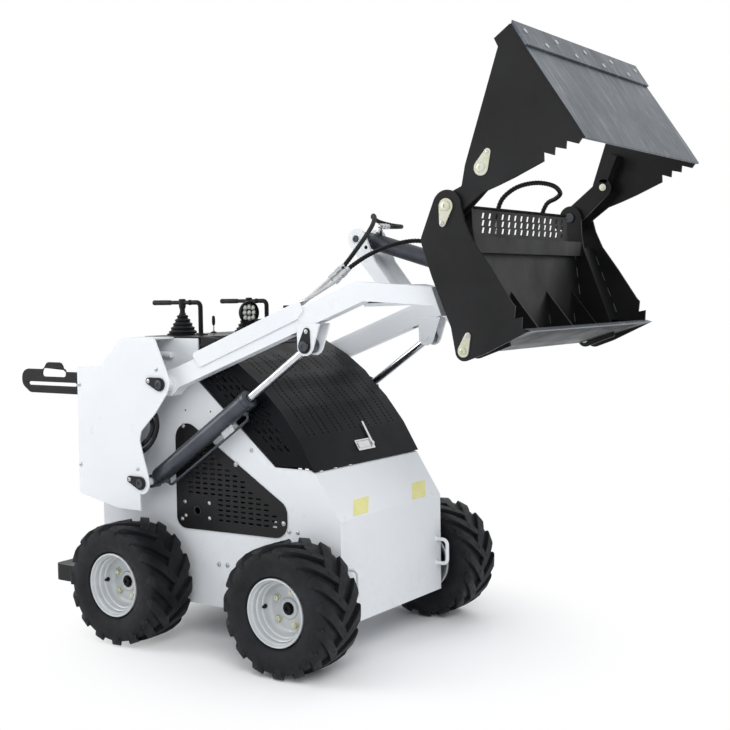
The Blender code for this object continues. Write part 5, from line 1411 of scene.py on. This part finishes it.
def add_boom_details():
    top, rise = 0.0695, 0.0905
    for y, leave, low, high in ARM_PIPES:
        route = [(PIPE_START, y, arm_line(PIPE_START, top)), (PIPE_START, y, arm_line(PIPE_START, rise)),
                 (leave, y, arm_line(leave, rise)), low]
        gather("boom", "bright_steel", pipe(route, 0.0066, 0.03, 18))
        way = Vector(high) - Vector(low)
        span = way.length
        gather("boom", "bright_steel",
               turned([(0.0, -0.08 * span), (0.0118, -0.08 * span), (0.0118, span * 0.42),
                       (0.0102, span * 0.46), (0.0, span * 0.46)], low, way, 6),
               turned([(0.0, span * 0.44), (0.0098, span * 0.44), (0.0098, span * 0.56),
                       (0.0, span * 0.56)], low, way, 32),
               turned([(0.0, span * 0.54), (0.0122, span * 0.56), (0.0122, span * 1.0), (0.0106, span * 1.04),
                       (0.0, span * 1.04)], low, way, 6))
    for x in (0.215, 0.340):
        clip = rounded([(x - 0.013, arm_line(x, 0.071)), (x + 0.013, arm_line(x, 0.071)),
                        (x + 0.010, arm_line(x, 0.100), 0.003), (x - 0.016, arm_line(x, 0.100), 0.003)])
        gather("boom", "lamp_black", slab(clip, -0.414, -0.368, edge=0.001))
        gather("boom", "bright_steel", button_head((x - 0.002, -0.391, arm_line(x, 0.0985)),
                                                   (-0.35, 0, 0.94), 0.0048))
    outer = ARM_FACE + 0.0080
    for _, sign in SIDES:
        tail = (ROD_PIN[0] + 0.010, ROD_PIN[1] + 0.050)
        keeper_pieces("boom", "black_paint", ROD_PIN, tail, outer - 0.0012, sign, 0.0248, 0.0128, 0.0056)
        pin_head("boom", "cylinder_grey", ROD_PIN, outer + 0.0075, sign, 0.0175, 0.0030, 0.0075)
        pin_head("boom", "cylinder_grey", TILT_BASE, 0.0755, sign, 0.0125, 0.003, 0.006)
        gather("boom", "lamp_black", button_head((0.436, sign * 0.070, 1.452), (0, sign, 0), 0.0052))


# Bucket and clam fixings
def add_bucket_details():
    for _, sign in SIDES:
        face = SIDE_FACE
        keeper_pieces("bucket", "zinc", CLAM_PIVOT, (1.004, 1.498), face, sign, 0.024, 0.011, 0.0055)
        pin_head("bucket", "zinc", CLAM_PIVOT, face + 0.0055, sign, 0.0150, 0.0040, 0.006)
        keeper_pieces("bucket", "zinc", CLAM_BASE, (1.088, 1.157), face, sign, 0.019, 0.010, 0.0055)
        pin_head("bucket", "zinc", CLAM_BASE, face + 0.0055, sign, 0.0105, 0.0045, 0.0045)
        gather("bucket", "zinc", cross_pin(CLAM_BASE, *sorted((sign * 0.386, sign * 0.3925)), 0.0125))
        gather("bucket", "cylinder_grey", cross_pin(CLAM_PIVOT, *sorted((sign * 0.386, sign * 0.3925)),
                                                    0.0170))
        tilt_head = (TILT_PIN[0], sign * 0.0815, TILT_PIN[1])
        gather("bucket", "cylinder_grey", hex_head(tilt_head, (0, sign, 0), 0.0135, 0.008))
        low, high = sorted((sign * 0.4085, sign * 0.4022))
        gather("clam", "zinc", cross_pin(CLAM_ARM_PIN, low, high, 0.0130))
        low, high = sorted((sign * 0.4722, sign * 0.4748))
        gather("clam", "zinc", slab(teardrop(CLAM_KEEPER, (1.152, 1.703), 0.024, 0.011), low, high,
                                    edge=0.0006))
        pin_head("clam", "zinc", CLAM_KEEPER, 0.4748, sign, 0.0140, 0.0016, 0.006)
        gather("clam", "bright_steel", cross_pin((1.152, 1.703), *sorted((sign * 0.4748, sign * 0.4762)),
                                                 0.0052))
    way = (1.278 - 1.232, 1.998 - 2.068)
    length = math.hypot(*way)
    out = (-way[1] / length, 0.0, way[0] / length)
    for i in range(9):
        y = -0.420 + 0.105 * i
        for part in (0.30, 0.72):
            at = (1.232 + way[0] * part + out[0] * 0.0083, y, 2.068 + way[1] * part + out[2] * 0.0083)
            if (i % 2 == 0) == (part < 0.5):
                gather("clam", "bright_steel", button_head(at, out, 0.0070))


GUARD_X = 1.030
GUARD_TOP = 1.552
GUARD_NEAR = -0.386
GUARD_FAR = 0.332


def add_guard():
    """Slotted guard over the bucket's cross beam, folded forward along its top edge."""
    low = 1.4603
    outline = [(GUARD_NEAR, low), (GUARD_FAR, low), (GUARD_FAR, GUARD_TOP - 0.008),
               (GUARD_FAR - 0.025, GUARD_TOP), (GUARD_NEAR + 0.025, GUARD_TOP),
               (GUARD_NEAR, GUARD_TOP - 0.008)]
    holes = []
    for row in range(3):
        for column in range(14):
            y = 0.044 * (column - 6.5)
            z = low + 0.022 + 0.023 * row
            holes.append([(y - 0.0105, z - 0.0085), (y + 0.0035, z - 0.0085),
                          (y + 0.0105, z + 0.0085), (y - 0.0035, z + 0.0085)])
    face = slab(outline, GUARD_X + 0.001, GUARD_X + 0.0035, holes, "YZ", 0.0004)
    fold = slab([(GUARD_X, GUARD_TOP - 0.006), (GUARD_X + 0.005, GUARD_TOP - 0.006),
                 (GUARD_X + 0.016, GUARD_TOP - 0.002),
                 (GUARD_X + 0.015, GUARD_TOP + 0.002), (GUARD_X + 0.001, GUARD_TOP)], GUARD_NEAR + 0.027,
                GUARD_FAR - 0.027, edge=0.0008)
    finished("bucket_guard_screen", merged([face, fold]), "bucket", "black_paint", ("bucket_guard",))


def bead(path, radius=0.0022):
    """Weld bead: a rippled bar along a straight joint."""
    start, end = Vector(path[0]), Vector(path[1])
    count = max(4, int((end - start).length / 0.0016))
    points, radii = [], []
    for i in range(count + 1):
        points.append(start.lerp(end, i / count))
        radii.append(radius * (1.0 + 0.16 * math.sin(i * 1.9)))
    return swept(points, radii, 8)


def add_welds():
    """Beads where the plates of the boom meet, painted over with the rest."""
    lines = []
    for _, sign in SIDES:
        y = sign * (ARM_Y - 0.025)
        lines += [((0.626, y, 1.3025), (0.744, y, 1.3025)), ((0.7455, y, 1.256), (0.7455, y, 1.301))]
        y = sign * ARM_FACE
        lines.append(((0.392, y, arm_line(0.392, 0.0718)), (0.392, y, 1.1895)))
        lines.append(((0.632, sign * 0.0705, 1.3035), (0.686, sign * 0.0705, 1.3035)))
    gather("boom", "white_paint", *[bead(line) for line in lines])


# Hoses: rubber tubes in spiral guards, ends in crimped ferrules
TILT_HOSE_BASE = [(0.5031, -0.3219, 1.3721), (0.5140, -0.3127, 1.3855), (0.520, -0.262, 1.430),
                  (0.510, -0.186, 1.480), (0.490, -0.110, 1.524), (0.460, -0.048, 1.556),
                  (0.420, 0.004, 1.569),
                  (0.384, 0.056, 1.565), (0.371, 0.114, 1.553), (0.390, 0.163, 1.542), (0.430, 0.170, 1.535),
                  (0.4551, 0.126, 1.531), (0.4551, 0.070, 1.5287), (0.4551, 0.048, 1.5287),
                  (0.4551, 0.0303, 1.5287)]
TILT_HOSE_GLAND = [(0.5331, -0.3359, 1.3621), (0.5440, -0.3267, 1.3755), (0.580, -0.268, 1.417),
                   (0.626, -0.196, 1.450), (0.676, -0.134, 1.465), (0.722, -0.084, 1.458),
                   (0.7430, -0.048, 1.4440), (0.7430, -0.0303, 1.4440)]
BUCKET_HOSE = [(1.019, -0.170, 1.5003), (1.019, -0.170, 1.518), (1.020, -0.166, 1.548),
               (1.030, -0.144, 1.592),
               (1.058, -0.096, 1.628), (1.094, -0.032, 1.643), (1.122, 0.034, 1.636), (1.118, 0.096, 1.616),
               (1.082, 0.138, 1.602), (1.042, 0.154, 1.588), (1.021, 0.157, 1.552), (1.019, 0.156, 1.518),
               (1.019, 0.156, 1.5003)]
HOSE_RADIUS = 0.0075
HOSE_STEP = 0.0025
GUARD_TURN = 0.011
GUARD_RISE = 0.0007


def smooth_route(points, step):
    """Points at even steps on a smooth curve through the route's own points."""
    points = [Vector(p) for p in points]
    chain = [2 * points[0] - points[1], *points, 2 * points[-1] - points[-2]]
    path = []
    for before, here, ahead, after in zip(chain, chain[1:], chain[2:], chain[3:]):
        count = max(1, round((ahead - here).length / step))
        for i in range(count):
            t = i / count
            path.append(0.5 * (2 * here + (ahead - before) * t
                               + (2 * before - 5 * here + 4 * ahead - after) * t ** 2
                               + (3 * here - before - 3 * ahead + after) * t ** 3))
    path.append(points[-1])
    return path


def add_hose(name, route, body, sides=18):
    path = smooth_route(route, HOSE_STEP)
    run, radii = 0.0, []
    for i, point in enumerate(path):
        if i:
            run += (point - path[i - 1]).length
        row = []
        for k in range(sides):
            wave = math.cos(2 * math.pi * (run / GUARD_TURN - k / sides))
            row.append(HOSE_RADIUS + GUARD_RISE * max(-0.8, min(0.8, 2.0 * wave)))
        radii.append(row)
    hose = finished(name + "_guarded", swept(path, radii, sides), body, "rubber", (name,), 60.0)
    for here, there in ((path[0], path[8]), (path[-1], path[-9])):
        way = there - here
        gather(body, "bright_steel", turned([(0.0076, 0.0005), (0.0094, 0.0005), (0.0098, 0.003),
                                             (0.0090, 0.0042),
                                             (0.0098, 0.0054), (0.0098, 0.0095), (0.0090, 0.0107),
                                             (0.0098, 0.0119),
                                             (0.0098, 0.0160), (0.0088, 0.0175), (0.0076, 0.0175)],
                                            here, way, 28, True))


def add_hoses():
    add_hose("tilt_hose_base", TILT_HOSE_BASE, "boom")
    add_hose("tilt_hose_gland", TILT_HOSE_GLAND, "boom")
    add_hose("bucket_hose", BUCKET_HOSE, "bucket")


def add_handles():
    for side, sign in SIDES:
        y = sign * (BODY_HALF - 0.032)
        wall = 0.4923
        route = [(wall - 0.002, y, 0.245), (wall + 0.048, y, 0.245), (wall + 0.048, y, 0.338),
                 (wall - 0.002, y, 0.338)]
        finished("front_handle_" + side + "_bar", pipe(route, 0.007, 0.02, 20), "chassis", "white_paint",
                 ("front_handle_" + side,))
        for z in (0.245, 0.338):
            gather("chassis", "white_paint", turned([(0.0068, 0.0), (0.0115, 0.0), (0.0100, 0.0022),
                                                     (0.0068, 0.0042)],
                                                    (wall, y, z), (1, 0, 0), 24, True))


# Plates drawn again with rounded edges
TOWER = [(-0.651, 1.021), (-0.522, 1.027), (-0.412, 1.136), (-0.240, 1.136, 0.02),
         (-0.192, 1.035), (-0.165, 0.973, 0.03), (-0.183, 0.935), (-0.241, 0.863),
         (-0.318, 0.790), (-0.328, 0.757, 0.03), (-0.312, 0.700, 0.05), (-0.289, 0.631)]
TOWER_FOOT = [(-0.329, 0.492), (-0.446, 0.492), (-0.655, 0.534)]
BODY_SIDE = 0.3323


def tower_mesh():
    outline = rounded(TOWER) + arc(LIFT_BASE, 0.042, 20, -100) + TOWER_FOOT
    lid = [(-0.640, 1.021), (-0.522, 1.0265), (-0.4125, 1.1355), (-0.262, 1.1355), (-0.262, 1.1295),
           (-0.415, 1.1295), (-0.525, 1.0205), (-0.640, 1.015)]
    rear = [(-0.655, 0.554), (-0.649, 0.554), (-0.649, 0.900), (-0.655, 0.900)]
    inside = TOWER_FACE - 0.006
    return merged([slab(outline, inside, TOWER_FACE, edge=0.0012),
                   slab(lid, BODY_SIDE, inside + 0.002, edge=0.0008),
                   slab(rear, BODY_SIDE, inside + 0.002, edge=0.0008),
                   cross_pin(BOOM_PIVOT, BODY_SIDE, TOWER_FACE + 0.008, 0.016),
                   cross_pin(LIFT_BASE, BODY_SIDE, TOWER_FACE + 0.008, 0.014),
                   cross_pin(BOOM_PIVOT, ARM_FACE + 0.003, inside + 0.001, 0.026)])


SIDE_REAR = [(0.969, 1.566), (0.921, 1.450, 0.03), (0.961, 1.336), (1.027, 1.182)]
SIDE_FRONT = [(1.147, 1.104), (1.285, 1.169), (1.266, 1.179), (1.268, 1.213), (1.242, 1.208), (1.246, 1.245),
              (1.236, 1.255), (1.165, 1.360), (1.104, 1.443), (1.078, 1.499)]


def bucket_side_mesh():
    outline = (rounded(SIDE_REAR)[1:] + arc(CLAM_BASE, 0.031, 200, 290) + SIDE_FRONT
               + arc(CLAM_PIVOT, 0.050, -5, 160))
    return merged([slab(outline, SIDE_FACE - 0.008, SIDE_FACE, edge=0.0010),
                   cross_pin(CLAM_PIVOT, 0.4033, SIDE_FACE + 0.005, 0.014),
                   cross_pin(CLAM_BASE, 0.4033, SIDE_FACE + 0.005, 0.009)])


def clam_arm_mesh():
    outline = (arc(CLAM_ARM_PIN, 0.030, -45, 125) + arc(CLAM_PIVOT, 0.036, 125, 115)
               + arc(CLAM_ROD_PIN, 0.021, 115, 285) + arc(CLAM_PIVOT, 0.036, 285, 312))
    bore = arc(CLAM_PIVOT, 0.0149, 0, 350)
    bridge = [(1.120, 1.672), (1.150, 1.666), (1.190, 1.760), (1.160, 1.772)]
    return merged([slab(outline, 0.408, 0.418, [bore], edge=0.0010), slab(bridge, 0.408, 0.4637, edge=0.0008),
                   cross_pin(CLAM_ARM_PIN, 0.403, 0.4637, 0.012),
                   cross_pin(CLAM_ROD_PIN, 0.404, 0.409, 0.012)])


SIGN_PLATE = [(0.397, 1.267, 0.008), (0.413, 1.232, 0.012), (0.388, 1.203, 0.012), (-0.060, 1.030, 0.012),
              (-0.096, 1.079, 0.012)]


def arm_plate_mesh():
    return slab(rounded(SIGN_PLATE), ARM_FACE + 0.0003, ARM_FACE + 0.0063, edge=0.0014)


GUSSET_PLACES = (-0.330, -0.130, 0.130, 0.330)
BACK_LEAN = (CLAM_BASE[0] - CLAM_PIVOT[0]) / (CLAM_PIVOT[1] - CLAM_BASE[1])
PANEL_EDGE = [(1.169, 1.180), (1.067, 1.440)]
FLOOR_BACK = (1.062, 1.098)
FLOOR_FRONT = (1.294, 1.172)


def lean_x(z):
    return 1.065 - (z - 1.170) * BACK_LEAN


def blade_mesh():
    inner = ([(lean_x(1.46) - 0.030, 1.460), (1.020, 1.180)] + arc(CLAM_BASE, 0.027, 200, 290)
             + [(1.186, 1.123), *PANEL_EDGE, (1.060, 1.484)] + arc(CLAM_PIVOT, 0.042, -10, 190))
    panel = [(x - 0.001, z) for x, z in PANEL_EDGE] + [(x - 0.0065, z - 0.0022) for x, z in PANEL_EDGE[::-1]]
    solids = []
    for sign in (1, -1):
        solids.append(slab(inner, *sorted((sign * 0.393, sign * 0.403)), edge=0.0010))
        solids.append(slab(panel, *sorted((sign * 0.402, sign * 0.4767)), edge=0.0006))
        solids.append(cross_pin(CLAM_PIVOT, *sorted((sign * 0.389, sign * 0.394)), 0.014))
        solids.append(cross_pin(CLAM_BASE, *sorted((sign * 0.389, sign * 0.394)), 0.009))
    back = [(lean_x(1.448), 1.448), (lean_x(1.448) - 0.008, 1.448), (lean_x(1.112) - 0.008, 1.112),
            (lean_x(1.112), 1.112)]
    solids.append(slab(back, -0.394, 0.394, edge=0.0006))
    low = [FLOOR_BACK, FLOOR_FRONT, (1.272, 1.178), (1.058, 1.112)]
    solids.append(slab(low, -0.402, 0.402, edge=0.0006))
    rise = (FLOOR_FRONT[1] - FLOOR_BACK[1]) / (FLOOR_FRONT[0] - FLOOR_BACK[0])
    behind = (1.125, FLOOR_BACK[1] + (1.125 - FLOOR_BACK[0]) * rise)
    lip = [behind, FLOOR_FRONT, (1.272, 1.178), (behind[0] - 0.003, behind[1] + 0.013)]
    solids.append(slab(lip, -0.4767, 0.4767, edge=0.0006))
    solids.append(slab([(1.005, 1.410), (1.062, 1.410), (1.062, 1.460), (1.005, 1.460)], -0.394, 0.394,
                       edge=0.0016))
    for y in GUSSET_PLACES:
        gusset = [(lean_x(1.290) - 0.003, 1.290), (lean_x(1.10) - 0.003, 1.106), (1.150, 1.132),
                  (1.150, 1.165)]
        solids.append(slab(gusset, y - 0.004, y + 0.004, edge=0.0010))
    return merged(solids)


def add_plates():
    for name, make, body, finish in (("tower_plate", tower_mesh, "chassis", "white_paint"),
                                     ("bucket_side", bucket_side_mesh, "bucket", "black_paint"),
                                     ("clam_arm", clam_arm_mesh, "clam", "black_paint"),
                                     ("arm_side_plate", arm_plate_mesh, "boom", "white_paint")):
        for side, mesh in both_sides(make).items():
            node = name + "_" + side
            finished(node + "_sheet", mesh, body, finish, (node,))
    finished("bucket_blade_plates", blade_mesh(), "bucket", "black_paint", ("bucket_blade",))
    for x, y, _ in (BUCKET_HOSE[0], BUCKET_HOSE[-1]):
        gather("bucket", "bright_steel", hex_head((x, y, 1.460), (0, 0, 1), 0.0105, 0.016),
               round_bar((x, y, 1.470), (x, y, 1.4998), 0.0078, 24),
               turned([(0.0, 0.0), (0.0105, 0.0), (0.0105, 0.012), (0.0, 0.012)], (x, y, 1.4875), (0, 0, 1),
                      6))
    edge = [(1.205, 1.1552), (1.2722, 1.1787), (1.2946, 1.1722), (1.2930, 1.1712), (1.205, 1.1460)]
    gather("bucket", "worn_steel", slab(edge, -0.4766, 0.4766, edge=0.0004))
    stitches = []
    for sign in (1, -1):
        y = sign * 0.3928
        for i in range(5):
            z = 1.150 + 0.062 * i
            stitches.append(bead(((lean_x(z) + 0.0012, y, z), (lean_x(z + 0.034) + 0.0012, y, z + 0.034)),
                                 0.0026))
        for i in range(4):
            part = 0.10 + 0.22 * i
            ends = []
            for p in (part, part + 0.12):
                x = PANEL_EDGE[0][0] + p * (PANEL_EDGE[1][0] - PANEL_EDGE[0][0]) + 0.0006
                z = PANEL_EDGE[0][1] + p * (PANEL_EDGE[1][1] - PANEL_EDGE[0][1])
                ends.append((x, sign * 0.4745, z))
            stitches.append(bead(ends, 0.0024))
    for y in GUSSET_PLACES:
        for side in (-0.0048, 0.0048):
            stitches.append(bead(((lean_x(1.175) + 0.001, y + side, 1.175),
                                  (lean_x(1.205) + 0.001, y + side, 1.205))))
            stitches.append(bead(((1.085, y + side, 1.1205), (1.118, y + side, 1.1320))))
    gather("bucket", "cylinder_grey", *stitches)


# Nodes with pieces of their own; every other node is dressed in its own solid's form
DRAWN_ANEW = ("tower_plate_", "bucket_side_", "clam_arm_", "arm_side_plate_", "bucket_blade", "tyre_",
              "rim_", "hood", "side_grille_", "drive_lever_", "reference_bar_", "aux_lever", "work_lamp",
              "lift_barrel_", "lift_rod_", "tilt_barrel", "tilt_rod", "tilt_hose_", "bucket_hose",
              "clam_barrel_", "clam_rod_", "bucket_guard", "front_handle_", "clam_jaw")


# The clam's floor: the faces across the machine between its sides and above this height
CLAM_INSIDE = 0.4629
CLAM_FLOOR_LOW = 1.70


def add_clam_jaw():
    """The clam with its floor split off, as that is bare worn steel while its sides are painted."""
    mesh = NODES["clam_jaw"].data.copy()
    mesh.materials.clear()
    mesh = softened(tidied(mesh), 0.0008)
    halves = {}
    for floor in (False, True):
        work = bmesh.new()
        work.from_mesh(mesh)
        away = [f for f in work.faces if (abs(f.normal.y) < 0.35
                                          and abs(f.calc_center_median().y) < CLAM_INSIDE
                                          and f.calc_center_median().z > CLAM_FLOOR_LOW) != floor]
        bmesh.ops.delete(work, geom=away, context="FACES")
        half = bpy.data.meshes.new("clam_half")
        work.to_mesh(half)
        work.free()
        halves[floor] = half
    for floor, name, finish in ((False, "clam_jaw_sides", "black_paint"),
                                (True, "clam_jaw_floor", "worn_steel")):
        half = halves[floor]
        half.transform(TO_ROW.inverted())
        finished(name, half, "clam", finish, ("clam_jaw",) if not floor else (), 28.0)


def dress_nodes():
    for node in sorted(NODES):
        if not node.startswith(DRAWN_ANEW):
            dressed(node)


def add_gathered():
    for (body, finish), meshes in sorted(GATHERED.items()):
        finished(body + "_" + finish + "_fittings", merged(meshes), body, finish)


def main():
    add_camera()
    add_hoses()
    set_stage()
    add_plates()
    add_tower_fittings()
    add_wheels()
    add_hood()
    add_latch()
    add_grilles()
    add_chassis_details()
    add_levers()
    add_lamp_housing()
    add_cylinders()
    add_boom_details()
    add_bucket_details()
    add_guard()
    add_welds()
    add_handles()
    add_clam_jaw()
    dress_nodes()
    add_gathered()


main()
